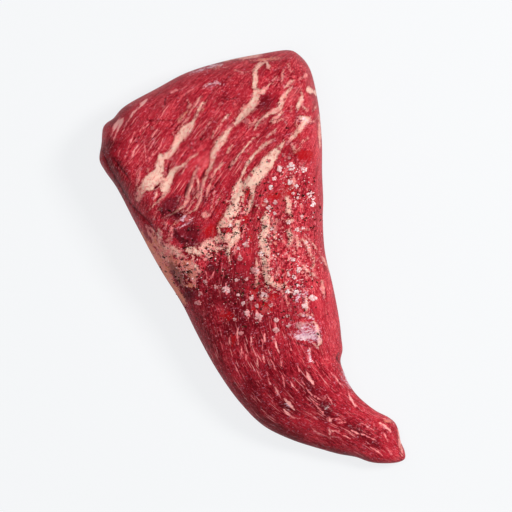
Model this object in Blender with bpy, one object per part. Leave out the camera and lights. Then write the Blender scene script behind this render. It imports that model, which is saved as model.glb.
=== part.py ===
# Raw beef tri-tip: a tapering slab of beef with a blunt tail, lying flat under coarse salt and pepper.
# +Y runs from the tail to the broad end, +X is to the right seen from above, and it rests on z = 0.
# Sizes are in millimetres until MM turns them into metres.

import math
import random

import bmesh
import bpy
import numpy as np
from mathutils import Vector
from mathutils.bvhtree import BVHTree

MM = 0.001

# The outline seen from above, in four runs that meet at rounded corners.
RIGHT_SIDE = (
    (63.4, 127.2), (67.6, 122.4), (70.6, 113.8), (69.2, 95.5), (63.2, 70.5), (55.6, 48.4), (50.3, 31.8),
    (46.4, 22.0), (40.6, 2.0), (38.4, -17.0), (34.8, -40.0), (32.0, -51.6), (30.2, -58.6), (26.6, -64.8),
    (26.2, -72.5), (26.8, -80.2), (29.4, -89.0), (36.6, -101.2), (42.8, -108.0),
)
TAIL_END = ((45.4, -112.5), (45.8, -118.2), (44.8, -124.4), (45.0, -131.6), (43.6, -135.6))
LEFT_SIDE = (
    (39.6, -136.4), (29.5, -133.6), (22.4, -130.1), (15.4, -124.4), (6.2, -119.0), (-1.2, -113.8),
    (-18.6, -100.3), (-32.0, -86.2), (-41.0, -67.0), (-47.6, -42.5), (-51.5, -17.0), (-53.6, 2.0),
    (-59.1, 28.3), (-64.0, 61.0), (-67.2, 84.6), (-70.4, 96.4), (-71.2, 103.6), (-66.6, 113.0),
)
BROAD_END = (
    (-62.4, 121.8), (-59.4, 123.9), (-54.4, 125.2), (-47.0, 129.2), (-22.0, 133.6), (-2.5, 136.2),
    (22.0, 135.1), (44.0, 131.7),
)
SPLINE_STEPS = 24

# Heights and widths at stations along the length: 0 is the tail end, 1 the broad end.
CROWN = ((0.0, 15.0), (0.12, 24.0), (0.3, 37.0), (0.5, 48.0), (0.68, 51.0), (0.85, 49.0), (1.0, 44.0))
LEFT_ROUNDING = ((0.0, 9.0), (0.15, 24.0), (0.3, 38.0), (0.5, 38.0), (0.72, 24.0), (1.0, 15.0))
RIGHT_ROUNDING = ((0.0, 9.0), (0.15, 15.0), (0.3, 22.0), (0.5, 22.0), (0.72, 14.0), (1.0, 13.0))
TAIL_ROUNDING = 13.0
BROAD_ROUNDING = 16.0
ROUNDING_POWER = 2.2
EDGE_PULL = 4
NEAR_EDGE = 3.0
WAIST_SHARE = 0.34
TUCK = ((0.0, 3.5), (0.2, 6.0), (0.5, 8.0), (1.0, 7.5))
CORNER_REACH = 7.0

# Swells and dents of the upper face: place, half widths along x and y, turn in degrees, height.
SWELLS = (
    {"at": (13.0, -72.0), "size": (15.0, 20.0), "turn": -15.0, "height": 2.6},
    {"at": (20.0, -58.0), "size": (9.0, 7.0), "turn": 0.0, "height": -2.0},
    {"at": (-37.0, 43.0), "size": (8.0, 6.5), "turn": 20.0, "height": -4.5},
    {"at": (-39.5, 54.0), "size": (5.0, 2.6), "turn": 30.0, "height": -2.4},
    {"at": (-46.0, 60.5), "size": (3.0, 3.0), "turn": 0.0, "height": -1.8},
    {"at": (-44.0, 82.0), "size": (9.0, 12.0), "turn": -20.0, "height": 1.6},
    {"at": (-12.0, 108.0), "size": (22.0, 12.0), "turn": 25.0, "height": 1.8},
    {"at": (40.0, 100.0), "size": (14.0, 16.0), "turn": 0.0, "height": 1.5},
    {"at": (12.0, -38.0), "size": (12.0, 10.0), "turn": 0.0, "height": 1.6},
    {"at": (-20.0, -28.0), "size": (14.0, 20.0), "turn": 0.0, "height": -2.0},
)

# Grooves between muscles and the raised seams of fat: half width, height, route.
SEAMS = (
    (2.0, -3.2, ((-66.4, 108.0), (-66.8, 98.0), (-64.6, 87.7), (-62.8, 74.0), (-58.9, 65.2), (-55.4, 56.7))),
    (1.8, -1.5, ((-61.0, 97.6), (-58.1, 87.3))),
    (1.6, -2.0, ((-22.5, 71.1), (-27.1, 67.5), (-28.7, 64.8))),
    (1.5, -1.6, ((-12.0, 76.5), (-13.6, 73.8))),
    (1.5, -1.6, ((-6.6, 65.9), (-10.2, 63.3))),
    (4.0, 1.5, ((40.6, 75.8), (28.6, 68.3), (13.9, 60.5), (1.1, 50.6), (-11.8, 40.8), (-14.3, 26.5))),
    (3.0, 1.2, ((13.8, 34.8), (7.9, 15.1), (0.6, -8.6))),
    (2.6, -1.8, ((8.0, 48.0), (4.9, 39.3), (-1.4, 18.5), (-11.0, -4.4))),
    (2.4, -1.4, ((44.1, 125.3), (34.1, 112.5), (31.0, 103.7), (15.9, 96.7), (-1.2, 87.8), (-11.2, 74.9))),
    (2.2, -1.2, ((4.2, 115.5), (-5.0, 110.2), (-14.2, 103.0), (-23.4, 95.8), (-33.1, 90.8))),
    (2.2, -1.1, ((55.8, 106.6), (42.5, 95.6), (26.3, 90.9))),
)

# Bundles of muscle that lie side by side across the upper half.
BUNDLES = {"at": (-12.0, 72.0), "size": (34.0, 28.0), "grain": 37.0, "pitch": 7.5, "height": 0.7}

# Slow waves of the upper face, and of the waist as a share of its height: pitch, turn, start, height.
WAVES = ((31.0, 20.0, 0.4, 0.8), (23.0, 95.0, 1.9, 0.6), (17.0, 150.0, 4.1, 0.45), (12.0, 60.0, 2.6, 0.3))
WAIST_WAVES = ((74.0, 75.0, 0.6, 0.13), (39.0, 15.0, 2.4, 0.08), (21.0, 100.0, 5.0, 0.05))

# The mesh: rows and columns of the upper face, and rows down the sides.
ROWS = 76
COLUMNS = 34
ROUND_ROWS = 7
ROUND_COLUMNS = 9
MOST_ROUNDING = 0.47
SIDE_ROWS = 4

# The largest flakes of salt: place and size.
LARGE_FLAKES = (
    (38.8, 58.7, 5.0), (31.9, 59.9, 4.3), (45.6, 54.3, 3.7), (26.6, 55.4, 3.1), (22.6, 51.0, 3.1),
    (34.6, 50.0, 3.7), (43.4, 38.6, 3.7), (43.6, 32.8, 4.3), (25.8, 26.9, 2.5), (34.6, 27.6, 2.5),
    (17.2, 44.4, 2.8), (-31.6, 50.3, 5.0), (-3.4, 23.8, 4.3), (-9.8, 17.0, 3.7), (-24.5, 1.4, 5.0),
    (-3.9, 6.3, 5.0), (-11.2, -8.6, 3.7), (-17.6, -10.0, 3.1), (21.2, -2.1, 4.0), (23.7, -21.5, 5.0),
    (-43.6, -0.7, 4.3), (10.8, -12.7, 3.1), (20.2, 5.1, 3.1), (-3.7, -9.4, 4.3), (15.0, -14.8, 4.0),
    (17.6, -24.4, 4.3), (10.2, -34.1, 5.0), (-4.1, -32.1, 4.3), (-11.6, -21.2, 5.0), (-17.4, -16.4, 3.7),
    (-34.9, 10.4, 2.8), (-50.8, 47.5, 3.4), (5.7, -26.5, 2.8), (7.5, -95.1, 2.8),
)

# Coarse salt and pepper. Each kind is drawn by a seeded rule inside its patches.
# A patch has a place, a spread along x and y, and a share of the grains.
SALT = {
    "count": 46, "seed": 11, "size": (3.4, 2.0), "thickness": 0.5, "sides": 5,
    "patches": (
        {"at": (25.0, 55.0), "spread": (13.0, 16.0), "share": 5},
        {"at": (18.0, -2.0), "spread": (14.0, 24.0), "share": 7},
        {"at": (-14.0, -6.0), "spread": (14.0, 18.0), "share": 4},
        {"at": (-37.0, 60.0), "spread": (18.0, 26.0), "share": 2},
        {"at": (8.0, -60.0), "spread": (14.0, 22.0), "share": 1},
        {"at": (20.0, 100.0), "spread": (22.0, 14.0), "share": 1},
    ),
}
PEPPER = {
    "count": 34, "seed": 23, "size": (2.4, 1.6), "thickness": 0.75, "sides": 4,
    "patches": (
        {"at": (14.0, 40.0), "spread": (14.0, 24.0), "share": 5},
        {"at": (4.0, -8.0), "spread": (18.0, 18.0), "share": 4},
        {"at": (-36.0, 22.0), "spread": (9.0, 14.0), "share": 2},
    ),
}
EDGE_MARGIN = 9.0
STEEPEST = 0.75
REACH_SHARE = 0.55
TOPPING_GAP = 0.7
TOPPING_SINK = 0.28
TOP_SHARE = 0.72


def closed_curve(points):
    """A centripetal curve through the points and back to the first."""
    samples = []
    count = len(points)
    for i in range(count):
        p = [np.array(points[(i + k) % count]) for k in (-1, 0, 1, 2)]
        t = [0.0]
        for a, b in zip(p, p[1:]):
            t.append(t[-1] + math.sqrt(np.linalg.norm(b - a)))
        for step in range(SPLINE_STEPS):
            at = t[1] + (t[2] - t[1]) * step / SPLINE_STEPS
            level = p
            for width in (1, 2, 3):
                level = [
                    blend_at(level[k], level[k + 1], t, k, width, at)
                    for k in range(4 - width)
                ]
            samples.append(level[0])
    return np.array(samples)


def blend_at(a, b, knots, k, width, at):
    """One step of the curve's pyramid: its spans are one knot wide at first, then two."""
    if width == 3:
        low, high = knots[1], knots[2]
    else:
        low, high = knots[k], knots[k + width]
    return ((high - at) * a + (at - low) * b) / (high - low)


def line_length(points):
    return np.linalg.norm(np.diff(points, axis=0), axis=1).sum()


def resampled(points, shares):
    """Points at the given shares of an open line's length."""
    steps = np.linalg.norm(np.diff(points, axis=0), axis=1)
    length = np.concatenate([[0.0], np.cumsum(steps)])
    at = np.asarray(shares) * length[-1]
    return np.stack([np.interp(at, length, points[:, axis]) for axis in (0, 1)], axis=-1)


def station(table, u):
    """A smooth value between the stations of a table."""
    at, value = np.array(table).T
    slope = np.gradient(value, at)
    k = np.clip(np.searchsorted(at, u) - 1, 0, len(at) - 2)
    span = at[k + 1] - at[k]
    t = (u - at[k]) / span
    rise = value[k + 1] - value[k]
    start = slope[k] * span - rise
    end = rise - slope[k + 1] * span
    return value[k] + rise * t + t * (1 - t) * ((1 - t) * start + t * end)


def outline_sides():
    """The four runs of the outline, centred on the origin, each from the tail up or from left to right."""
    runs = (RIGHT_SIDE, TAIL_END, LEFT_SIDE, BROAD_END)
    curve = closed_curve([point for run in runs for point in run])
    curve -= (curve.min(axis=0) + curve.max(axis=0)) / 2
    starts = np.cumsum([0] + [len(run) * SPLINE_STEPS for run in runs])
    curve = np.concatenate([curve, curve[:1]])
    right, tail, left, broad = (curve[a:b + 1] for a, b in zip(starts, starts[1:]))
    return left, right[::-1], tail[::-1], broad


def spaced(count, ease_count, ease_start, ease_end):
    """Shares of a width that crowd together where each end rounds over."""
    turn = 1 - np.cos(np.linspace(0, math.pi / 2, ease_count + 1))
    middle = np.linspace(ease_start, 1 - ease_end, count - 2 * ease_count + 1)
    return np.concatenate([turn[:-1] * ease_start, middle, 1 - (turn * ease_end)[:-1][::-1]])


def distance_to(route, x, y):
    best = np.full(np.shape(x), np.inf)
    for (ax, ay), (bx, by) in zip(route, route[1:]):
        dx, dy = bx - ax, by - ay
        t = np.clip(((x - ax) * dx + (y - ay) * dy) / (dx * dx + dy * dy), 0, 1)
        best = np.minimum(best, np.hypot(x - ax - t * dx, y - ay - t * dy))
    return best


def edge_field(x, y, outline, widths):
    """How far in from the outline each point is, softened between edges, and the rounding width there."""
    middles = (outline[1:] + outline[:-1]) / 2
    steps = np.linalg.norm(np.diff(outline, axis=0), axis=1)
    true = distance_to(outline, x, y)
    reach = np.maximum(np.hypot(x[:, None] - middles[:, 0], y[:, None] - middles[:, 1]), steps / 2)
    pull = steps / reach ** (EDGE_PULL + 1)
    total = pull.sum(axis=1)
    straight = math.sqrt(math.pi) * math.gamma(EDGE_PULL / 2) / math.gamma((EDGE_PULL + 1) / 2)
    soft = (total / straight) ** (-1 / EDGE_PULL)
    share = np.clip(true / NEAR_EDGE, 0, 1)
    share = share * share * (3 - 2 * share)
    return true + (soft - true) * share, pull @ ((widths[1:] + widths[:-1]) / 2) / total


def bump(x, y, at, size, turn):
    """1 at a place, falling away smoothly over an oval."""
    angle = math.radians(turn)
    dx, dy = x - at[0], y - at[1]
    along = (dx * math.cos(angle) + dy * math.sin(angle)) / size[0]
    across = (dy * math.cos(angle) - dx * math.sin(angle)) / size[1]
    return np.exp(-along ** 2 - across ** 2)


def waves(table, x, y):
    """The sum of a table's waves at a place."""
    total = np.zeros(np.shape(x))
    for pitch, turn, start, height in table:
        angle = math.radians(turn)
        total += height * np.sin(2 * math.pi * (x * math.cos(angle) + y * math.sin(angle)) / pitch + start)
    return total


def relief(x, y):
    """Height that the upper face gains or loses at a place."""
    height = np.zeros(np.shape(x))
    for swell in SWELLS:
        height += swell["height"] * bump(x, y, swell["at"], swell["size"], swell["turn"])
    for width, seam_height, route in SEAMS:
        height += seam_height * np.exp(-(distance_to(route, x, y) / width) ** 2)
    grain = math.radians(BUNDLES["grain"])
    across = y * math.cos(grain) - x * math.sin(grain)
    strands = np.sin(2 * math.pi * across / BUNDLES["pitch"])
    height += BUNDLES["height"] * strands * bump(x, y, BUNDLES["at"], BUNDLES["size"], BUNDLES["grain"])
    return height + waves(WAVES, x, y)


def shares_along(points):
    """The share of an open line's length at each of its points."""
    steps = np.linalg.norm(np.diff(points, axis=0), axis=1)
    return np.concatenate([[0.0], np.cumsum(steps)]) / steps.sum()


def upper_face():
    """Points of the upper face as rows from the tail end and columns from the left, with their stations."""
    left, right, tail, broad = outline_sides()
    length = (line_length(left) + line_length(right)) / 2
    outline = np.concatenate([left, broad[1:], right[::-1][1:], tail[::-1][1:]])
    widths = np.concatenate([
        station(LEFT_ROUNDING, shares_along(left)),
        np.full(len(broad) - 1, BROAD_ROUNDING),
        station(RIGHT_ROUNDING, shares_along(right))[::-1][1:],
        np.full(len(tail) - 1, TAIL_ROUNDING),
    ])
    u = spaced(ROWS, ROUND_ROWS, TAIL_ROUNDING / length, BROAD_ROUNDING / length)
    left_edge, right_edge = resampled(left, u), resampled(right, u)
    points = np.zeros((ROWS + 1, COLUMNS + 1, 3))
    for row, share in enumerate(u):
        width = np.linalg.norm(right_edge[row] - left_edge[row])
        round_left = min(float(station(LEFT_ROUNDING, share)) / width, MOST_ROUNDING)
        round_right = min(float(station(RIGHT_ROUNDING, share)) / width, MOST_ROUNDING)
        v = spaced(COLUMNS, ROUND_COLUMNS, round_left, round_right)
        across = np.outer(1 - v, left_edge[row]) + np.outer(v, right_edge[row])
        along = (1 - share) * resampled(tail, v) + share * resampled(broad, v)
        corners = (
            np.outer((1 - share) * (1 - v), tail[0]) + np.outer((1 - share) * v, tail[-1])
            + np.outer(share * (1 - v), broad[0]) + np.outer(share * v, broad[-1])
        )
        points[row, :, :2] = across + along - corners
    x, y = points[:, :, 0].ravel(), points[:, :, 1].ravel()
    inside, width = edge_field(x, y, outline, widths)
    fullness = np.sqrt(1 - (1 - np.clip(inside / width, 0, 1)) ** ROUNDING_POWER)
    crown = np.repeat(station(CROWN, u), COLUMNS + 1)
    waist = WAIST_SHARE * crown * (1 + waves(WAIST_WAVES, x, y))
    height = waist + (crown - waist + relief(x, y)) * fullness
    points[:, :, 2] = height.reshape(ROWS + 1, COLUMNS + 1)
    return points, u


def inward_from(ring):
    """Directions in from a ring, each square to a long chord, so that they turn gently round a corner."""
    looped = np.concatenate([ring, ring[:1]])
    length = np.concatenate([[0.0], np.cumsum(np.linalg.norm(np.diff(looped, axis=0), axis=1))])
    shares = length[:-1] / length[-1]
    reach = CORNER_REACH / length[-1]
    chord = resampled(looped, (shares + reach) % 1) - resampled(looped, (shares - reach) % 1)
    return np.stack([-chord[:, 1], chord[:, 0]], axis=-1) / np.linalg.norm(chord, axis=1)[:, None]


def build_meat():
    """The meat: the upper face, sides that tuck in under it, and a flat base."""
    points, u = upper_face()
    bm = bmesh.new()
    bmesh.ops.create_grid(bm, x_segments=COLUMNS, y_segments=ROWS, size=1.0)
    bm.verts.ensure_lookup_table()
    by_place = sorted(bm.verts, key=lambda vert: (round(vert.co.y, 5), round(vert.co.x, 5)))
    for vert, place in zip(by_place, points.reshape(-1, 3)):
        vert.co = Vector(place * MM)
    grid = np.arange(len(by_place)).reshape(ROWS + 1, COLUMNS + 1)
    ring = np.concatenate([grid[0, :-1], grid[:-1, -1], grid[-1, :0:-1], grid[:0:-1, 0]])
    places = points.reshape(-1, 3)[ring]
    stations = np.repeat(u, COLUMNS + 1)[ring]
    inward = inward_from(places[:, :2])
    tuck = station(TUCK, stations)
    edge = [by_place[i] for i in ring]
    for side_row in range(1, SIDE_ROWS + 1):
        angle = math.pi / 2 * side_row / SIDE_ROWS
        lower = []
        for k in range(len(ring)):
            x, y = places[k, :2] + inward[k] * tuck[k] * (1 - math.cos(angle))
            z = places[k, 2] * (1 - math.sin(angle))
            lower.append(bm.verts.new(Vector((x, y, z)) * MM))
        for k in range(len(ring)):
            after = (k + 1) % len(ring)
            bm.faces.new((edge[k], lower[k], lower[after], edge[after]))
        edge = lower
    for vert in edge:
        vert.co.z = 0.0
    bm.faces.new(edge[::-1])
    bmesh.ops.recalc_face_normals(bm, faces=bm.faces)
    mesh = bpy.data.meshes.new("tri_tip")
    bm.to_mesh(mesh)
    bm.free()
    mesh.shade_smooth()
    meat = bpy.data.objects.new("tri_tip", mesh)
    bpy.context.scene.collection.objects.link(meat)
    return meat


def place_on(surface, x, y):
    """The place and normal of the upper face under a point, or None for both off the edge."""
    return surface.ray_cast(Vector((x * MM, y * MM, 1.0)), Vector((0, 0, -1)))[:2]


def sprinkled_places(kind, surface, taken):
    """Places, normals and sizes on the upper face, drawn by the kind's patches and kept apart."""
    rng = random.Random(kind["seed"])
    patches = [patch for patch in kind["patches"] for _ in range(patch["share"])]
    largest, smallest = kind["size"]
    found = []
    while len(found) < kind["count"]:
        size = largest + (smallest - largest) * len(found) / kind["count"]
        patch = rng.choice(patches)
        x = rng.gauss(patch["at"][0], patch["spread"][0])
        y = rng.gauss(patch["at"][1], patch["spread"][1])
        gaps = [math.hypot(x - a, y - b) - REACH_SHARE * (size + other) for a, b, other in taken]
        if min(gaps) < TOPPING_GAP:
            continue
        place, normal = place_on(surface, x, y)
        around = ((EDGE_MARGIN, 0), (-EDGE_MARGIN, 0), (0, EDGE_MARGIN), (0, -EDGE_MARGIN))
        if any(place_on(surface, x + dx, y + dy)[0] is None for dx, dy in around):
            continue
        if place is None or normal.z < STEEPEST:
            continue
        taken.append((x, y, size))
        found.append((place, normal, size))
    return found


def build_topping(name, kind, index, place, normal, size):
    """One flat flake or chunky grain, as the hull of two uneven rings, sunk a little into the meat."""
    rng = random.Random(kind["seed"] * 1000 + index)
    thickness = size * kind["thickness"]
    narrow = rng.uniform(0.65, 1.0)
    turn = rng.uniform(0, 2 * math.pi)
    bm = bmesh.new()
    for level, spread in ((-TOPPING_SINK, 1.0), (1 - TOPPING_SINK, TOP_SHARE)):
        for k in range(kind["sides"]):
            angle = turn + 2 * math.pi * (k + rng.uniform(-0.22, 0.22)) / kind["sides"]
            reach = 0.5 * size * spread * rng.uniform(0.8, 1.1)
            height = level * thickness * rng.uniform(0.85, 1.0)
            bm.verts.new(Vector((reach * math.cos(angle), narrow * reach * math.sin(angle), height)) * MM)
    hull = bmesh.ops.convex_hull(bm, input=bm.verts)
    left_over = hull["geom_interior"] + hull["geom_unused"]
    inner = {item for item in left_over if isinstance(item, bmesh.types.BMVert)}
    bmesh.ops.delete(bm, geom=list(inner), context="VERTS")
    lean = Vector((0, 0, 1)).rotation_difference(normal)
    bmesh.ops.rotate(bm, verts=bm.verts, matrix=lean.to_matrix())
    bmesh.ops.translate(bm, verts=bm.verts, vec=place)
    bmesh.ops.recalc_face_normals(bm, faces=bm.faces)
    mesh = bpy.data.meshes.new(name)
    bm.to_mesh(mesh)
    bm.free()
    return bpy.data.objects.new(name, mesh)


def fuse_toppings(meat):
    """Salt and pepper join the meat in one union."""
    grains = bpy.data.collections.new("salt_and_pepper")
    bpy.context.scene.collection.children.link(grains)
    bm = bmesh.new()
    bm.from_mesh(meat.data)
    surface = BVHTree.FromBMesh(bm)
    bm.free()
    taken = list(LARGE_FLAKES)
    flakes = [(*place_on(surface, x, y), size) for x, y, size in LARGE_FLAKES]
    flakes += sprinkled_places(SALT, surface, taken)
    peppercorns = sprinkled_places(PEPPER, surface, taken)
    for name, kind, spots in (("salt", SALT, flakes), ("pepper", PEPPER, peppercorns)):
        for index, (place, normal, size) in enumerate(spots):
            grains.objects.link(build_topping(f"{name}_{index}", kind, index, place, normal, size))
    union = meat.modifiers.new("toppings", "BOOLEAN")
    union.operation = "UNION"
    union.operand_type = "COLLECTION"
    union.collection = grains
    union.solver = "EXACT"
    bpy.context.view_layer.objects.active = meat
    bpy.ops.object.modifier_apply(modifier=union.name)
    for grain in list(grains.objects):
        bpy.data.objects.remove(grain)
    bpy.data.collections.remove(grains)


def meat_material():
    material = bpy.data.materials.new("raw_beef")
    material.use_nodes = True
    shader = material.node_tree.nodes["Principled BSDF"]
    shader.inputs["Base Color"].default_value = (0.36, 0.035, 0.045, 1.0)
    shader.inputs["Roughness"].default_value = 0.34
    shader.inputs["Metallic"].default_value = 0.0
    return material


def main():
    for obj in list(bpy.data.objects):
        bpy.data.objects.remove(obj)
    meat = build_meat()
    fuse_toppings(meat)
    meat.data.materials.clear()
    meat.data.materials.append(meat_material())
    meat.data.set_sharp_from_angle(angle=math.radians(35))


main()
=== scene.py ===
import math
import random

import bpy
import numpy as np
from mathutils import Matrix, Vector
from mathutils.bvhtree import BVHTree


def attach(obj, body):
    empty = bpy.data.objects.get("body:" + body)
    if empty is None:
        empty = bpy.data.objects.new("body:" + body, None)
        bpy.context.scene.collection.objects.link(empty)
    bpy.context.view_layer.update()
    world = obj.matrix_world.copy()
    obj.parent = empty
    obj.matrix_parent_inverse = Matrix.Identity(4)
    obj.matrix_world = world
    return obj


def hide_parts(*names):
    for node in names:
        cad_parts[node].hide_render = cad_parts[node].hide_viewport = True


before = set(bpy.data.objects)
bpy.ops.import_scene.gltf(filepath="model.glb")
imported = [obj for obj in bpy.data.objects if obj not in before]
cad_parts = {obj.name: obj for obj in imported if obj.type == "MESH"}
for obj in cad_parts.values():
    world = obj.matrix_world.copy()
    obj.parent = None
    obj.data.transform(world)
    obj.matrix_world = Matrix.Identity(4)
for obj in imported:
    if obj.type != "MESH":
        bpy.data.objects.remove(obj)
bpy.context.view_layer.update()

print("frame loaded:", sorted(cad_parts))

mm = 0.001

# The photo looks straight down on the meat. Places called "seen" are in its pixels, right and down.
photo = {
    "side": 512,
    "middle": 255.5,
    "pixel": 0.62,                # mm at the height of the meat's waist
    "over": (-0.146, 14.675),     # mm, the point under the camera
    "roll": -20.0,                # degrees
    "height": 3000.0,             # mm, of the camera
    "waist": 18.0,                # mm, where the meat is widest
}

# The form of the meat, in mm: +Y from the tail to the broad end, resting on z = 0.
form = {
    "right side": (
        (63.4, 127.2), (67.6, 122.4), (70.6, 113.8), (69.2, 95.5), (63.2, 70.5), (55.6, 48.4), (50.3, 31.8),
        (46.4, 22.0), (40.6, 2.0), (38.4, -17.0), (34.8, -40.0), (32.0, -51.6), (30.2, -58.6), (26.6, -64.8),
        (26.2, -72.5), (26.8, -80.2), (29.4, -89.0), (36.6, -101.2), (42.8, -108.0),
    ),
    "tail end": ((45.4, -112.5), (45.8, -118.2), (44.8, -124.4), (45.0, -131.6), (43.6, -135.6)),
    "left side": (
        (39.6, -136.4), (29.5, -133.6), (22.4, -130.1), (15.4, -124.4), (6.2, -119.0), (-1.2, -113.8),
        (-18.6, -100.3), (-32.0, -86.2), (-41.0, -67.0), (-47.6, -42.5), (-51.5, -17.0), (-53.6, 2.0),
        (-59.1, 28.3), (-64.0, 61.0), (-67.2, 84.6), (-70.4, 96.4), (-71.2, 103.6), (-66.6, 113.0),
    ),
    "broad end": (
        (-62.4, 121.8), (-59.4, 123.9), (-54.4, 125.2), (-47.0, 129.2), (-22.0, 133.6), (-2.5, 136.2),
        (22.0, 135.1), (44.0, 131.7),
    ),
    "curve steps": 24,
    # By station, 0 at the tail end and 1 at the broad end: the height, and the widths of the rounded edges.
    "crown": ((0.0, 15.0), (0.12, 24.0), (0.3, 37.0), (0.5, 48.0), (0.68, 51.0), (0.85, 49.0), (1.0, 44.0)),
    "left rounding": ((0.0, 9.0), (0.15, 24.0), (0.3, 38.0), (0.5, 38.0), (0.72, 24.0), (1.0, 15.0)),
    "right rounding": ((0.0, 9.0), (0.15, 15.0), (0.3, 22.0), (0.5, 22.0), (0.72, 14.0), (1.0, 13.0)),
    "tail rounding": 13.0,
    "broad rounding": 16.0,
    "rounding power": 2.2,
    "edge pull": 4,               # the higher, the more only the nearest piece of outline counts
    "near edge": 3.0,             # closer to the outline than this, the true distance counts
    "waist share": 0.34,          # of the height; the sides tuck in under it, by this much along the length
    "tuck": ((0.0, 3.5), (0.2, 6.0), (0.5, 8.0), (1.0, 7.5)),
    "corner reach": 7.0,          # mm along the edge over which the way in turns at a corner
    # Swells and dents: place, half widths, turn in degrees, height.
    "swells": (
        ((13.0, -72.0), (15.0, 20.0), -15.0, 2.6), ((20.0, -58.0), (9.0, 7.0), 0.0, -2.0),
        ((-37.0, 43.0), (8.0, 6.5), 20.0, -4.5), ((-39.5, 54.0), (5.0, 2.6), 30.0, -2.4),
        ((-46.0, 60.5), (3.0, 3.0), 0.0, -1.8), ((-44.0, 82.0), (9.0, 12.0), -20.0, 1.6),
        ((-12.0, 108.0), (22.0, 12.0), 25.0, 1.8), ((40.0, 100.0), (14.0, 16.0), 0.0, 1.5),
        ((12.0, -38.0), (12.0, 10.0), 0.0, 1.6), ((-20.0, -28.0), (14.0, 20.0), 0.0, -2.0),
    ),
    # Grooves between muscles and raised seams of fat: half width, height, route.
    "seams": (
        (2.0, -3.2, ((-66.4, 108.0), (-66.8, 98.0), (-64.6, 87.7), (-62.8, 74.0), (-58.9, 65.2),
                     (-55.4, 56.7))),
        (1.8, -1.5, ((-61.0, 97.6), (-58.1, 87.3))),
        (1.6, -2.0, ((-22.5, 71.1), (-27.1, 67.5), (-28.7, 64.8))),
        (1.5, -1.6, ((-12.0, 76.5), (-13.6, 73.8))),
        (1.5, -1.6, ((-6.6, 65.9), (-10.2, 63.3))),
        (4.0, 1.5, ((40.6, 75.8), (28.6, 68.3), (13.9, 60.5), (1.1, 50.6), (-11.8, 40.8), (-14.3, 26.5))),
        (3.0, 1.2, ((13.8, 34.8), (7.9, 15.1), (0.6, -8.6))),
        (2.6, -1.8, ((8.0, 48.0), (4.9, 39.3), (-1.4, 18.5), (-11.0, -4.4))),
        (2.4, -1.4, ((44.1, 125.3), (34.1, 112.5), (31.0, 103.7), (15.9, 96.7), (-1.2, 87.8), (-11.2, 74.9))),
        (2.2, -1.2, ((4.2, 115.5), (-5.0, 110.2), (-14.2, 103.0), (-23.4, 95.8), (-33.1, 90.8))),
        (2.2, -1.1, ((55.8, 106.6), (42.5, 95.6), (26.3, 90.9))),
    ),
    # Fine parallel bundles round one place.
    "bundles": {"at": (-12.0, 72.0), "size": (34.0, 28.0), "grain": 37.0, "pitch": 7.5, "height": 0.7},
    # Waves: pitch, turn in degrees, start, height. The waist's are shares of its height.
    "waves": (
        (31.0, 20.0, 0.4, 0.8), (23.0, 95.0, 1.9, 0.6), (17.0, 150.0, 4.1, 0.45), (12.0, 60.0, 2.6, 0.3),
    ),
    "waist waves": ((74.0, 75.0, 0.6, 0.13), (39.0, 15.0, 2.4, 0.08), (21.0, 100.0, 5.0, 0.05)),
}

# How finely the meat is meshed, and the small forms that come on top of the main one.
skin = {
    "rows": 408,
    "columns": 212,
    "side rows": 9,
    "profile steps": 1500,        # for sharing rows and columns out evenly over the rounded edges
    "block": 3000,                # points of the edge field worked out at a time
    # The way the fibres run, in degrees from +X, at places along Y.
    "grain": (
        (-150.0, 112.0), (-120.0, 122.0), (-98.0, 130.0), (-72.0, 113.0), (-45.0, 92.0), (-18.0, 76.0),
        (12.0, 66.0), (38.0, 50.0), (62.0, 38.0), (150.0, 36.0),
    ),
    "unroll": 0.85,               # of the drop at the rounded edges, for patterns that don't stretch there
    # Ridges of fibre: width and length of one, height. Lumps: size, height.
    "ridges": ((2.6, 22.0, 0.2), (5.5, 34.0, 0.28), (1.5, 12.0, 0.1)),
    "lumps": ((2.4, 0.12), (7.0, 0.2)),
    "fat rise": 0.2,
    "crease depth": 0.6,
    "soft edge": 3.0,             # pixels over which the last two come in
    # How drawn edges wander and how fat swells: size and reach in seen pixels.
    "wander": ((7.0, 0.35), (3.2, 0.5), (1.9, 0.5)),
    "swelling": ((5.0, 0.7), (2.4, 0.7)),
    "swelling edge": 4.0,
    "vein cut": 1.6,              # how fast fat comes back beside a vein
    "vein margin": 0.2,
    "strand shadow shift": (1.9, -1.7),  # pixels from a strand of fat to the painted shadow beside it, away from the key light
    "strand shadow under fat": 2.0,
    "field reach": 6.0,           # pixels from a strand beyond which nothing more is known of it
    # Where the face turns down, drawn strands end raggedly: from this drop in mm, by this much for each mm.
    "steep from": 8.0,
    "steep fade": 0.24,
    "ragged by": 10.0,            # mm of drop by which the ends are fully ragged
    "ragged": ((3.5, 1.6), (9.0, 3.0)),
    "held ragged": 0.7,           # share of that for the fat on the rim, which reaches the outline
    # Down the sides all of them thin out, by this much for each mm; brown fat holds longer.
    "side fade": 1.2,
    "silver sheen fade": 2.4,
    "brown tones": (0.625, 0.875),
    "brown hold": 0.5,
    "side ragged": ((4.0, 1.6), (8.0, 2.4), (19.0, 4.0)),
    "side ragged by": 6.0,
    # What the soft patches come to low on the sides, and how far down.
    "side patches": {"streaks": 0.45, "specks": 0.3},
    "side reach": 14.0,
    "side wobble": 0.35,
    "wobble size": (6.0, 2.5),    # mm along the edge, side rows
    # Noise repeats after this many steps, and each use of it has its own seeds.
    "lattice": 128,
    "seeds": {"ridges": 0, "lumps": 10, "wobble": 20, "wander": (40, 50), "swelling": 70, "ragged": 80},
    # These keep the finer mesh inside the solid's own box.
    "fit": 0.9998,
    "top from": 54.0,
    "top squash": 0.5,
}
meatScale = (skin["fit"] * mm, skin["fit"] * mm, mm)

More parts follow.
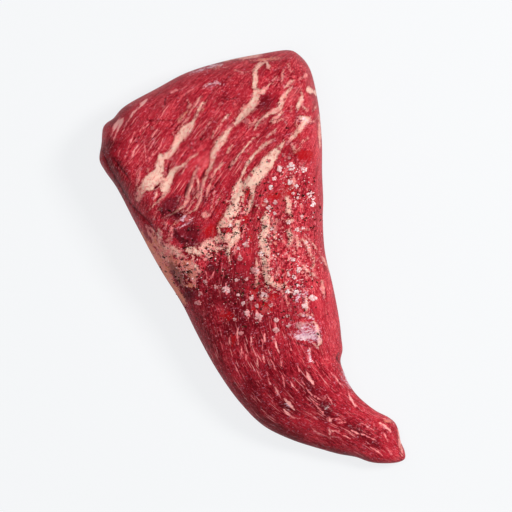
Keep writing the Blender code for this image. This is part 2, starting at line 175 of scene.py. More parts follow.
# Fat as the photo shows it: tone (0 cream, 0.5 pink, 1 brown), then the seen places with the width there.
fat = {
    "left fork": (
        (0.2, ((207, 100, 1.5), (201, 104, 3), (198, 109, 3.4), (196, 115, 3), (194, 119, 3), (191, 124, 7),
               (186, 129, 11), (181, 135, 11), (178, 139, 9), (176, 143, 7), (174, 147, 7), (171, 151, 6.4),
               (167, 155, 6), (163, 158, 5))),
        (0.3, ((201, 96, 1.3), (196, 102, 2.4), (191, 109, 2.2), (188, 114, 1.4))),
        (0.45, ((190, 117, 1.5), (184, 122, 3.2), (178, 128, 2.8), (173, 133, 2))),
        (0.55, ((188, 110, 1.4), (183, 115, 2.8), (178, 121, 1.6))),
        (0.6, ((200, 105, 2), (203, 108, 3), (202, 111, 2))),
        (0.5, ((187, 100, 2), (189.5, 104, 3.6), (188, 108, 2))),
    ),
    "left patch": (
        (0.1, ((160, 156, 7), (160, 161, 8), (159.5, 166, 9), (159, 171, 11), (156, 176, 15), (152, 181, 17),
               (148, 184, 14))),
        (0.2, ((147, 178, 5), (144, 182, 7), (143, 186, 6))),
        (0.5, ((144, 186, 6), (141, 190, 9), (139.5, 194, 7.6), (138, 199, 3.4))),
        (0.1, ((184, 163, 2.6), (180, 166, 3.6), (176, 168, 5), (172, 171, 7), (169, 176, 9), (166, 181, 12),
               (164.5, 185.5, 11), (163, 189, 6))),
        (0.25, ((167, 190, 5), (163, 194, 4.4), (159, 199, 3.4), (154, 204, 2.4), (149, 209, 1.3))),
        (0.25, ((155, 189, 2.6), (155.5, 194, 3.2), (154, 199, 2.4))),
        (0.3, ((198, 153, 1.5), (192, 156, 2.5), (187, 161, 2.2), (184, 165, 3))),
        (0.3, ((157, 158, 2), (155.5, 164, 2.4), (155, 169, 1.4))),
        (0.2, ((167, 168, 1.6), (166, 172, 2.4), (164, 177, 1.6))),
        (0.4, ((185, 167, 2.4), (182, 171, 2.8), (180, 174, 1.6))),
        (0.55, ((141, 168, 1.2), (138, 173, 2), (137, 180, 2.2), (136, 188, 1.4))),
        (0.5, ((147, 168, 2), (148, 172, 2))),
    ),
    "loop seam": (
        (0.15, ((266, 61, 3), (261, 63, 4.4), (257, 66, 5.6), (254.5, 71, 5.8), (254.5, 79, 5.8),
                (254, 86, 6))),
        (0.3, ((257, 92, 6), (262, 91.5, 6), (265, 89, 3.4), (269, 84, 1.6))),
        (0.15, ((257, 91.5, 7), (255, 97, 7), (253, 102, 8.5), (250, 107, 9), (246, 111, 8.5),
                (242, 115, 7.5), (238, 119, 6.5), (235, 122, 5), (231, 126, 4.2), (228, 130, 5),
                (225, 134, 6.4), (222.5, 138, 8.4), (219.5, 142, 8.8), (216.5, 146, 8), (214, 150, 6.4),
                (213, 154, 5.6), (212, 158, 4.6), (211, 163, 4.6), (209, 168, 4.2), (207, 172, 4))),
        (0.55, ((250, 107, 4), (245, 106, 6), (240, 109, 3.5))),
        (0.5, ((256, 104, 3), (259, 101, 1.8))),
        (0.3, ((262, 59, 3), (266, 62, 5), (268, 66, 4.4), (269, 70, 2.4))),
        (0.5, ((276, 77, 2), (272, 82, 2), (266, 86, 1.5), (261, 91, 2))),
    ),
    "right seam": (
        (0.15, ((292, 86, 1.6), (289, 89, 3.4), (285.5, 93.5, 4), (282, 97.5, 5.6), (280.5, 103, 5.8),
                (279, 108, 6.2), (275, 110.5, 5.2), (271, 112, 4.8), (266, 115, 4), (262, 118, 4),
                (258, 121, 3.4), (256, 125, 2.4), (254, 129, 1.4))),
        (0.5, ((281, 112, 3), (277, 116, 4.4), (272, 119, 3))),
        (0.25, ((270, 121, 2.6), (274, 121.5, 3.6), (279, 119, 3), (283, 118, 1.5))),
        (0.4, ((243, 121, 1.5), (248, 120, 2.4), (250, 123, 3.2), (248, 128, 1.6))),
        (0.45, ((258, 116, 1.2), (254, 121, 2.2), (251, 125, 1.6))),
    ),
    "big seam": (
        (0.0, ((284, 139, 1), (280, 146, 4.5), (276, 151, 8), (272, 156, 10), (268, 161, 12.5),
               (264, 166, 13), (259.5, 171, 13.5), (255.5, 176, 14), (252, 181, 14), (249, 185, 13))),
        (0.05, ((244, 179, 2.4), (239, 183.5, 7), (237, 189, 10), (238.5, 195, 12.5), (237, 200, 13),
                (235, 206, 13), (232.5, 211, 13), (229.5, 216, 13), (226.5, 221, 11), (225, 226, 8))),
        (0.1, ((252, 186, 6.5), (252, 191, 5), (251, 197, 5), (250, 203, 4.8), (248.5, 209, 4),
               (246, 213, 2))),
        (0.05, ((238, 221, 6), (236, 226, 7), (235.5, 232, 9), (234.5, 237, 10), (230, 242, 9),
                (227.5, 248, 5), (228.5, 255, 3), (229, 262, 1.5))),
        (0.25, ((226, 221, 12), (222.5, 226, 13), (220.5, 231, 8), (221, 236, 6))),
        (0.5, ((235, 245, 3.4), (234.5, 250, 2.6), (233, 255, 1.2))),
        (0.45, ((242, 205, 4), (244, 209, 5), (243, 212, 3))),
        (0.3, ((229, 237, 11), (222, 241, 15), (214, 245, 16), (207, 247, 16), (202, 248, 9))),
        (0.1, ((187, 248, 6), (192, 250.5, 10.5), (197, 253, 7))),
        (0.5, ((203, 258, 4), (208, 257, 5), (213, 256, 3))),
    ),
    "column": (
        (0.1, ((265, 212, 4), (265.5, 219, 9), (265.5, 225, 9.5), (265, 231, 11), (264.5, 238, 11.5),
               (264, 245, 11), (264, 252, 11), (264.5, 258, 10), (265, 264, 9), (266, 272, 10),
               (268, 279, 8.5), (272, 284, 5), (277, 286, 3.8), (282, 285, 3.5), (286, 282, 2))),
        (0.2, ((252, 269, 5), (256, 270.5, 7), (257, 274, 4))),
        (0.6, ((272, 219, 3), (274, 228, 3.5), (274, 238, 3.5), (275, 246, 2.6))),
        (0.4, ((270, 222, 3), (276, 222, 2.5), (277, 218, 1.5))),
        (0.45, ((277, 268, 2.4), (276, 274, 2), (273, 278, 2))),
        (0.3, ((261, 290, 3), (261, 297, 4), (265, 300, 3.5), (268, 296, 2))),
        (0.4, ((256, 258, 3), (257, 266, 5), (255, 271, 5), (257, 279, 4), (255, 286, 3))),
    ),
    "right strips": (
        (0.1, ((287, 197, 5), (288, 204, 5.5), (288, 211, 5), (290, 215, 2))),
        (0.25, ((284.5, 220, 4), (288, 221, 6), (291.5, 220, 4))),
        (0.3, ((289, 228, 3), (289, 233, 6.4), (290.5, 239, 7), (290, 243, 4.4), (287, 245, 3))),
        (0.35, ((296, 235, 2), (297, 240, 3.4), (298, 245, 5.6), (297, 248, 2.4))),
        (0.3, ((301, 239, 3), (305, 242, 6), (308, 246, 6.6), (309, 250, 6), (310, 253, 4.6),
               (311.5, 256, 4.4), (314, 259, 4.6), (314, 262, 4.6), (313, 266, 3.8), (311, 269, 2))),
        (0.3, ((314, 259, 2.4), (318, 260, 3.4), (320, 261, 2))),
        (0.3, ((303, 266, 2.6), (306, 269, 5), (310, 272, 5), (313, 274, 4), (316, 278, 2.4))),
        (0.35, ((295, 225, 2), (299, 228, 2.2), (304, 228, 2.8), (308, 229, 1.6))),
        (0.5, ((321, 280, 2), (322, 285, 1.6), (324, 292, 1.6), (325, 301, 1.5), (326, 310, 1.4),
               (326, 319, 1))),
        (0.25, ((305, 297, 3), (306, 303, 4.5), (306, 309, 3.5))),
        (0.35, ((300, 314, 2.4), (306, 315, 4), (313, 314, 2.4))),
        (0.45, ((282, 290, 1.2), (286, 299, 1.5), (290, 309, 1.2))),
        (0.35, ((296, 326, 1.5), (299, 324, 3.6), (304, 323, 2.6), (309, 324, 2))),
        (0.15, ((313, 322, 2.4), (316.5, 326, 4.4), (317, 331, 4.4), (319, 336, 4.5), (319, 342, 4.5),
                (317, 347, 3))),
        (0.35, ((309, 342, 1.4), (314, 344, 3.5))),
    ),
    "flank": (
        (0.7, ((147, 231, 3), (152, 236, 7), (158, 243, 9), (163, 251, 12), (168, 259, 12), (173, 267, 10),
               (178, 275, 8), (181, 283, 6))),
        (0.45, ((165, 246, 7), (171, 250, 12), (177, 252, 10), (183, 255, 6))),
        (0.65, ((178, 261, 7), (185, 265, 12), (190, 270, 12), (193, 276, 9), (194, 281, 4))),
        (0.3, ((184, 262, 2), (187, 265, 3), (189, 268, 2))),
        (0.3, ((192, 263, 4), (196, 267, 5), (199, 271, 4))),
        (0.35, ((186, 273, 2), (190, 276, 3), (193, 279, 2))),
        (0.85, ((183, 284, 5), (189, 285, 5), (195, 286, 3))),
    ),
    "rim": (
        (0.95, ((141, 231, 3), (146, 240, 6), (152, 250, 9), (159, 262, 10), (166, 273, 9), (173, 285, 7),
                (180, 296, 5), (185, 303, 2))),
        (0.35, ((309, 121, 3.5), (313, 121, 3.6), (315.5, 118, 4.5), (317.5, 115, 3.4))),
        (0.4, ((216, 62, 2), (224, 60, 4), (232, 57.5, 5), (240, 56, 7), (248, 54.5, 8), (256, 53.5, 7),
               (262, 54, 3))),
        (0.1, ((309, 89, 5), (312, 90, 7.5), (315, 92, 8), (316, 95, 5))),
        (0.3, ((317, 97, 2), (315.5, 102, 3.2), (315, 106, 3.8), (314, 110, 2.6))),
        (0.5, ((319, 115, 3), (319.5, 124, 3.4), (319.5, 134, 3), (320, 146, 2))),
        (0.25, ((304, 234, 1.8), (308, 238.5, 2.6), (312, 243, 2.6), (316, 248, 2.8), (319, 253, 3.2),
                (322, 257, 3.6), (325, 262, 4), (327, 266, 4), (329, 271, 2.4))),
        (0.4, ((398.5, 430, 1.5), (399.5, 436, 3), (400, 444, 3), (402, 450, 3.4), (402, 455, 2))),
        (0.85, ((384, 421, 1.5), (388, 420.5, 3), (391, 421, 3.4))),
    ),
    "top edge": (
        (0.68, ((250, 60, 2), (258, 60, 3), (266, 59, 3.4), (274, 58, 2.6), (280, 57.5, 1.6))),
        (0.6, ((226, 66, 1), (236, 70, 1.3), (243, 72, 1.8), (250, 70, 1))),
        (0.7, ((203, 68, 2), (212, 65, 2.5), (219, 65, 1.5))),
        (0.5, ((203, 86, 1.2), (209, 83, 2.2), (216, 83, 2.4), (219, 83, 1))),
    ),
    "upper right": (
        (0.15, ((301, 90, 1.2), (301, 95, 3.6), (300, 100, 5.4), (298, 105, 5), (296.5, 108.5, 2))),
        (0.6, ((302, 103, 2), (304, 107, 3.4), (306, 110, 2.6))),
        (0.6, ((292, 106, 1.6), (290, 110, 2.2))),
        (0.2, ((299, 117, 4), (304, 118, 6), (308, 118.5, 6), (310, 121, 4))),
        (0.15, ((306, 119, 6), (303.5, 122.5, 7.5), (300.5, 127, 5.5), (297, 131.5, 5), (293, 135.5, 5.8),
                (290, 138.5, 4.4), (287, 141, 1.5))),
        (0.5, ((298, 117, 1.6), (295.5, 121, 2.4), (296, 126, 2.4), (297.5, 129, 1.2))),
        (0.35, ((300, 143, 1.4), (304, 140, 3), (307, 138, 2.6))),
        (0.5, ((290, 142, 1.5), (293, 146, 3.2), (294, 150, 2.5))),
        (0.5, ((301, 145, 1.4), (297, 150, 2), (294, 153, 1.2))),
        (0.5, ((283, 70, 2), (282, 76, 3), (281, 83, 2.4))),
        (0.55, ((299, 79, 1.5), (304, 75, 2.2), (309, 73, 1.6))),
        (0.55, ((288, 64, 2), (289, 70, 2), (294, 72, 1.5))),
        (0.3, ((284, 87, 2.6), (287, 84, 3.8), (290, 81.5, 3.8), (294, 79, 1.5))),
        (0.6, ((293, 176, 3), (293, 182, 6), (292, 188, 4))),
    ),
    "between seams": (
        (0.0, ((273, 139, 2), (268, 142, 3.4), (263, 145, 4.2), (259, 149, 3.6), (255, 152.5, 3.4),
               (252, 156, 4), (249, 160, 3.8), (246, 165, 3.4), (244, 170, 4.4), (242, 175, 3.6),
               (240, 180, 3))),
        (0.2, ((258, 134, 1.4), (253, 138, 2.4), (249, 142, 2.8), (246, 146, 2.6), (242, 150, 2.4),
               (238, 155, 2.2), (235, 160, 3.2), (231, 164, 2.6), (229, 169, 1.4))),
        (0.2, ((232, 145, 1.8), (229, 149, 3.4), (226, 153, 2.4))),
        (0.3, ((222, 162, 1.6), (218.5, 167, 3), (215, 172, 3), (213, 177, 2.8), (211, 181, 1.6))),
        (0.35, ((276, 129, 1.6), (271, 133, 3), (266, 137, 1.6))),
        (0.3, ((230, 113, 1.6), (226, 116, 3), (223, 120, 2.4), (219, 125, 1.8), (215, 130, 2.2),
               (211, 138, 1.4))),
        (0.4, ((212, 117, 1.6), (208, 124, 2.4), (205, 129, 2), (203, 133, 1.2))),
        (0.45, ((221, 161, 1.2), (216, 170, 1.8), (211, 180, 2), (208, 188, 2), (206, 200, 1.3))),
        (0.45, ((214, 190, 1.2), (212, 200, 2), (211, 210, 1.5))),
        (0.5, ((245, 219, 2), (244, 224, 1.8), (243, 230, 1.4), (242, 237, 2))),
        (0.45, ((224, 186, 1), (219, 196, 1.6), (215, 206, 1.3))),
    ),
    "by the crevices": (
        (0.4, ((199.5, 166, 2), (196, 170, 4), (194, 174.5, 3.6), (193, 179, 3.8), (191, 184, 4),
               (188, 189, 5.4), (187, 194, 5.4), (187, 199, 4.6), (184, 204, 3.6), (180, 208, 3),
               (174, 212, 2.6), (167, 215, 2.2), (162, 218, 1.4))),
        (0.35, ((195, 175, 2.8), (197, 180, 3.6), (198, 186, 3), (197.5, 192, 2.8), (197, 198, 1.6))),
        (0.3, ((207, 172, 3.8), (205, 177, 3.6), (203, 181, 4), (202, 186, 3.6), (201, 191, 3.2),
               (200, 197, 2.6), (199, 203, 2.8), (196, 207, 2.6), (191, 211, 2.6), (185, 214, 2.4),
               (180, 217, 1.8))),
        (0.45, ((213, 173, 1.6), (211, 178, 2.2), (209, 185, 2.8), (207, 189, 3), (206, 195, 2.2),
                (206, 200, 1.4))),
        (0.45, ((194, 196, 1.8), (192, 202, 2.4), (188, 208, 2), (182, 212, 1.4))),
        (0.6, ((181, 219, 2), (176, 221, 4), (172, 226, 3.6), (169, 232, 2.4), (168, 238, 2.2),
               (168, 245, 2))),
        (0.55, ((174, 226, 1.4), (172, 232, 1.8), (171, 238, 1.4))),
        (0.5, ((161, 208, 1.2), (156, 211, 1.8), (154, 217, 1.8), (151, 224, 1.4))),
        (0.55, ((179, 197, 2), (178, 200, 2.4))),
        (0.2, ((158, 229, 3), (159, 233, 6.4), (159.5, 237, 4.4))),
        (0.5, ((163, 222, 1.5), (166, 223, 2), (164, 228, 1.5))),
        (0.5, ((146, 226, 2), (151, 228, 3.4), (155, 231, 3))),
        (0.5, ((193, 187, 2), (193, 193, 2.4))),
        (0.45, ((205, 212, 4), (203, 215, 4.6), (209, 214, 4))),
    ),
}

# Thin flecks of fat between the fibres, in the same form.
flecks = {
    "upper left": (
        (0.35, ((147, 99, 1.3), (141, 105, 2), (133, 112, 2), (127, 121, 1.8), (121, 134, 1.2))),
        (0.55, ((119, 115, 1.4), (115, 125, 2), (110, 136, 1.3))),
        (0.55, ((123, 118, 1.4), (118, 128, 2), (113, 139, 1.3))),
        (0.5, ((155, 105, 1.2), (150, 111, 1.6))),
        (0.5, ((169, 104, 1.4), (164, 110, 2), (160, 117, 1.3))),
        (0.5, ((135, 118, 1.2), (131, 124, 1.6))),
        (0.5, ((150, 122, 1.2), (145, 126, 1.8), (139, 131, 1.3))),
        (0.4, ((157, 129, 1.6), (154, 133, 2.4), (151, 137, 1.4))),
        (0.45, ((134, 132, 1.4), (131, 139, 2), (128, 146, 1.3))),
        (0.4, ((155, 138, 1.4), (152, 144, 2), (148, 150, 1.3))),
        (0.45, ((163, 136, 1.2), (160, 145, 1.8), (156, 151, 1.8), (151, 156, 1.2))),
        (0.4, ((137, 145, 1.8), (133, 151, 2.4), (131, 157, 1.4))),
        (0.45, ((144, 143, 1.2), (145, 153, 1.6), (146, 164, 1.1))),
        (0.5, ((142, 154, 1.3), (139, 160, 1.8), (137, 165, 1.2))),
        (0.5, ((153, 152, 1.2), (149, 158, 1.6), (147, 164, 1.1))),
        (0.45, ((140, 169, 1.5), (139, 176, 2.2), (136, 184, 1.8))),
        (0.55, ((193, 88, 1.6), (188, 91, 2.2), (183, 95, 1.3))),
        (0.6, ((176, 88, 1.5), (171, 92, 2), (186, 86, 1.5))),
        (0.5, ((128, 150, 1.2), (124, 157, 1.6))),
        (0.55, ((120, 148, 1.2), (117, 156, 1.5))),
    ),
    "middle flecks": (
        (0.9, ((225, 282, 1.5), (226, 287, 2.6), (226, 293, 3))),
        (0.7, ((198, 299, 3), (200, 305, 3.5), (201, 308, 1.5))),
        (0.6, ((204, 270, 1.2), (206, 274, 2), (207, 278, 1.2))),
        (0.6, ((214, 271, 1.4), (212, 275, 2.2), (209, 279, 1.4))),
        (0.5, ((239, 252, 2), (240, 259, 1.5))),
        (0.4, ((248, 311, 2.5), (249, 316, 2))),
        (0.4, ((256, 310, 2.5), (258, 316, 4), (260, 321, 2))),
        (0.8, ((275, 324, 2), (276, 330, 3), (276, 335, 1.6))),
        (0.45, ((250, 334, 1.6), (251, 341, 2.8), (250, 346, 1.4))),
        (0.5, ((264, 334, 2), (264, 340, 3.2))),
        (0.5, ((238, 327, 1.6), (237, 335, 2.6), (238, 344, 1.4))),
        (0.5, ((229, 337, 2.6), (229, 343, 2.6))),
        (0.5, ((262, 339, 1.4), (262, 350, 1.4))),
        (0.5, ((309, 348, 3), (309, 354, 2.6), (309, 361, 1.8))),
    ),
    "lower flecks": (
        (0.45, ((263, 354, 1.5), (263, 358, 2.8), (264, 362, 1.4))),
        (0.45, ((257, 358, 1.5), (257, 362, 2.8), (258, 366, 1.4))),
        (0.4, ((274, 338, 1.4), (276, 345, 2.8), (279, 353, 1.5))),
        (0.45, ((280, 356, 1.4), (281, 366, 1.4))),
        (0.45, ((270, 359, 1.3), (273, 364, 2.2), (275, 369, 1.2))),
        (0.5, ((254, 351, 2), (256, 356, 1.6))),
        (0.5, ((245, 354, 2), (246, 359, 1.6))),
        (0.5, ((241, 347, 1.8), (242, 353, 1.8))),
        (0.5, ((233, 371, 1.8), (236, 380, 1.8))),
        (0.45, ((297, 364, 1.6), (299, 371, 1.8))),
        (0.5, ((284, 334, 1.3), (288, 339, 1.6))),
        (0.5, ((289, 343, 1.4), (291, 350, 1.4))),
        (0.4, ((306, 371, 1.5), (308, 376, 4), (312, 382, 4), (313, 384, 1.5))),
        (0.4, ((333, 373, 1.8), (336, 378, 4), (340, 384, 2))),
        (0.5, ((282, 375, 1.5), (284, 386, 1.5))),
        (0.45, ((290, 381, 1.5), (293, 386, 2.2), (297, 390, 1.2))),
        (0.45, ((300, 379, 1.5), (304, 384, 1.8))),
        (0.5, ((267, 374, 1.4), (270, 384, 1.6))),
        (0.4, ((275, 387, 1.6), (277, 392, 2.6), (280, 397, 1.3))),
        (0.15, ((284, 398, 2.5), (288, 402, 4.2), (294, 410, 1.6))),
        (0.45, ((271, 400, 1.2), (275, 406, 1.7), (279, 411, 1.1))),
        (0.4, ((283, 409, 1.3), (288, 414, 2.3), (293, 417, 2.4), (299, 418, 1.3))),
    ),
    "tail flecks": (
        (0.45, ((306, 388, 1.2), (311, 394, 1.9), (322, 400, 1.2))),
        (0.5, ((313, 401, 1.4), (319, 405, 1.4))),
        (0.5, ((317, 407, 1.3), (323, 412, 1.6))),
        (0.5, ((308, 412, 1.2), (313, 416, 1.7), (318, 420, 1.1))),
        (0.45, ((326, 394, 1.3), (329, 399, 1.8), (333, 404, 1.2))),
        (0.2, ((328, 418, 3.6), (330, 420, 3.2))),
        (0.45, ((311, 427, 1.3), (316, 432, 2), (323, 435, 2.3), (335, 437, 1.5))),
        (0.4, ((329, 428, 1.5), (329, 433, 3.4), (330, 438, 2))),
        (0.45, ((331, 430, 2), (339, 431, 1.5))),
        (0.5, ((343, 435, 1.5), (350, 438, 1.5))),
        (0.5, ((332, 418, 1.5), (340, 419, 1.3))),
        (0.5, ((337, 422, 1.5), (346, 422, 1.2))),
        (0.35, ((347, 390, 1.4), (350, 398, 3), (355, 406, 1.5))),
        (0.5, ((355, 404, 1.3), (362, 411, 1.6))),
        (0.45, ((360, 422, 1.6), (367, 426, 2.2), (373, 430, 1.3))),
        (0.3, ((379, 422, 2), (385, 426, 3.4), (391, 431, 2))),
        (0.5, ((384, 433, 2), (387, 441, 2))),
        (0.45, ((369, 446, 1.4), (376, 450, 2.2), (382, 455, 1.3))),
        (0.5, ((385, 446, 1.4), (391, 454, 1.4))),
        (0.4, ((383, 418, 1.5), (389, 419, 2.4), (393, 423, 1.5))),
        (0.5, ((351, 430, 1.8), (357, 433, 2.2), (364, 434, 1.4))),
        (0.5, ((366, 436, 1.6), (374, 439, 1.8))),
    ),
}

# Where lean meat shows through the fat: seen places with the width there.
veins = (
    ((248, 187, 1.2), (247.5, 191, 2.6), (246.5, 196, 2.8), (245.5, 201, 2.2), (243.5, 204, 1.2)),
    ((242, 178, 1.6), (243, 183, 1.4)),
    ((241, 197, 0.6), (241, 202, 1.4), (240, 207, 1.4)),
    ((239, 212, 1.6), (241, 216, 4), (245, 217, 4)),
    ((230, 218, 2), (235, 218, 2.4)),
    ((233, 223, 1.4), (235, 226, 2)),
    ((222, 230, 4), (226, 229.5, 4.6), (230, 230, 2.6)),
    ((222, 244, 1), (226, 244, 1.6)),
    ((147, 193, 2), (149, 195, 3.4), (150, 199, 3.4)),
    ((165, 160, 2.4), (166.5, 164, 4), (168, 168, 3), (166, 173, 2), (165, 177, 1)),
    ((154, 187, 1.4), (156.5, 186, 2.4), (159, 184, 1.4)),
    ((268, 233, 1.4), (267, 238, 1.8), (269, 243, 1)),
    ((261, 252, 1), (266, 256, 1.4), (268, 261, 1)),
    ((205, 247, 1.5), (209, 251, 2.2), (215, 252, 1.2)),
    ((222, 242, 1), (217, 244, 1.8), (213, 242, 1)),
)

# Silvery membrane, painted lighter as a highlight where it catches the light: seen places with the width
# there.
silverSheen = (
    ((293, 334, 2), (298, 336, 6), (305, 336, 8), (312, 336, 7), (316, 338, 3)),
    ((302, 331, 1.6), (309, 331, 3), (315, 333, 3)),
    ((298, 328, 1.2), (304, 327, 2), (310, 328, 1.4)),
    ((301, 315, 1), (307, 317, 2), (313, 318, 1.4)),
    ((308, 349, 1.5), (309, 355, 2.5), (310, 362, 1.5)),
    ((203, 86, 1), (209, 84, 2), (216, 83, 2.4), (219, 83, 1)),
    ((190, 73, 1), (200, 69.5, 1.8), (211, 66, 2.4), (221, 64, 1.4)),
    ((298, 117, 1), (303, 118, 2), (307, 121, 1.6)),
    ((181, 219, 3), (185, 217.5, 5.5), (190, 218.5, 3.5)),
    ((179, 227, 1), (185, 224, 1.6), (191, 221, 1)),
    ((285, 403, 1), (289, 406, 1.6)),
    ((342, 372, 1), (346, 380, 2.5), (350, 388, 1)),
    ((295, 291, 1.5), (299, 295, 3.5), (296, 300, 2)),
    ((303, 290, 1.4), (306, 293, 2.4)),
)

# Creases and crevices, where the meat folds in: pressed in a little, and painted dark there as shade: seen
# places with the width there.
creases = (
    ((103, 149, 1), (106, 159, 1.4), (110, 169, 1.6), (117, 180, 1.4), (127, 198, 1.2), (133, 206, 1.6),
     (140, 213, 1.6), (150, 223, 1.4), (158, 236, 1)),
    ((112, 157, 1), (118, 164, 2), (124, 172, 1.8), (129, 179, 1)),
    ((190, 182, 1), (187, 185, 3), (185, 190, 3), (184, 195, 1.5)),
    ((205, 169, 1), (203, 173, 2.4), (200, 179, 1.2)),
    ((219, 180, 1.2), (214, 186, 2), (209, 192, 1.2)),
    ((193, 185, 0.8), (193, 192, 1.2), (191, 199, 0.8)),
    ((204, 190, 0.8), (203, 197, 1.2), (201, 203, 0.8)),
    ((145, 118, 1), (149, 120, 1.6), (160, 120, 1.2), (175, 120, 1)),
    ((164, 98, 1.6), (164, 104, 1.6)),
    ((221, 97, 1), (228, 99, 1.6), (236, 97, 1)),
    ((252, 89.5, 1.6), (258, 89.5, 1.6)),
    ((153, 189, 1.4), (156, 186, 2.4), (159, 184, 1.4)),
    ((164, 194, 1.4), (159, 197, 2.2), (155, 203, 1.2)),
    ((167, 163, 1.4), (168, 168, 2), (165, 175, 0.9)),
    ((170, 212, 1.5), (175, 215, 4), (180, 214, 2)),
    ((160, 210, 1.6), (162, 214, 3), (160, 218, 1.4)),
    ((158, 213, 1), (155, 220, 1.4)),
    ((160, 209, 1.5), (163, 214, 2.5)),
    ((174, 229, 3), (175, 234, 5), (181, 240, 5), (188, 241, 2)),
    ((233, 252, 1.2), (234, 262, 1.6), (234, 272, 1)),
    ((221, 252, 1.2), (219, 262, 1.6), (216, 272, 1)),
    ((209, 262, 1), (203, 274, 1.6), (196, 284, 1)),
    ((247, 228, 1.2), (246, 240, 1.8), (244, 250, 1)),
    ((295, 342, 1), (304, 345, 1.6), (310, 347, 1)),
    ((338, 352, 1.6), (336, 358, 2), (340, 363, 1)),
)

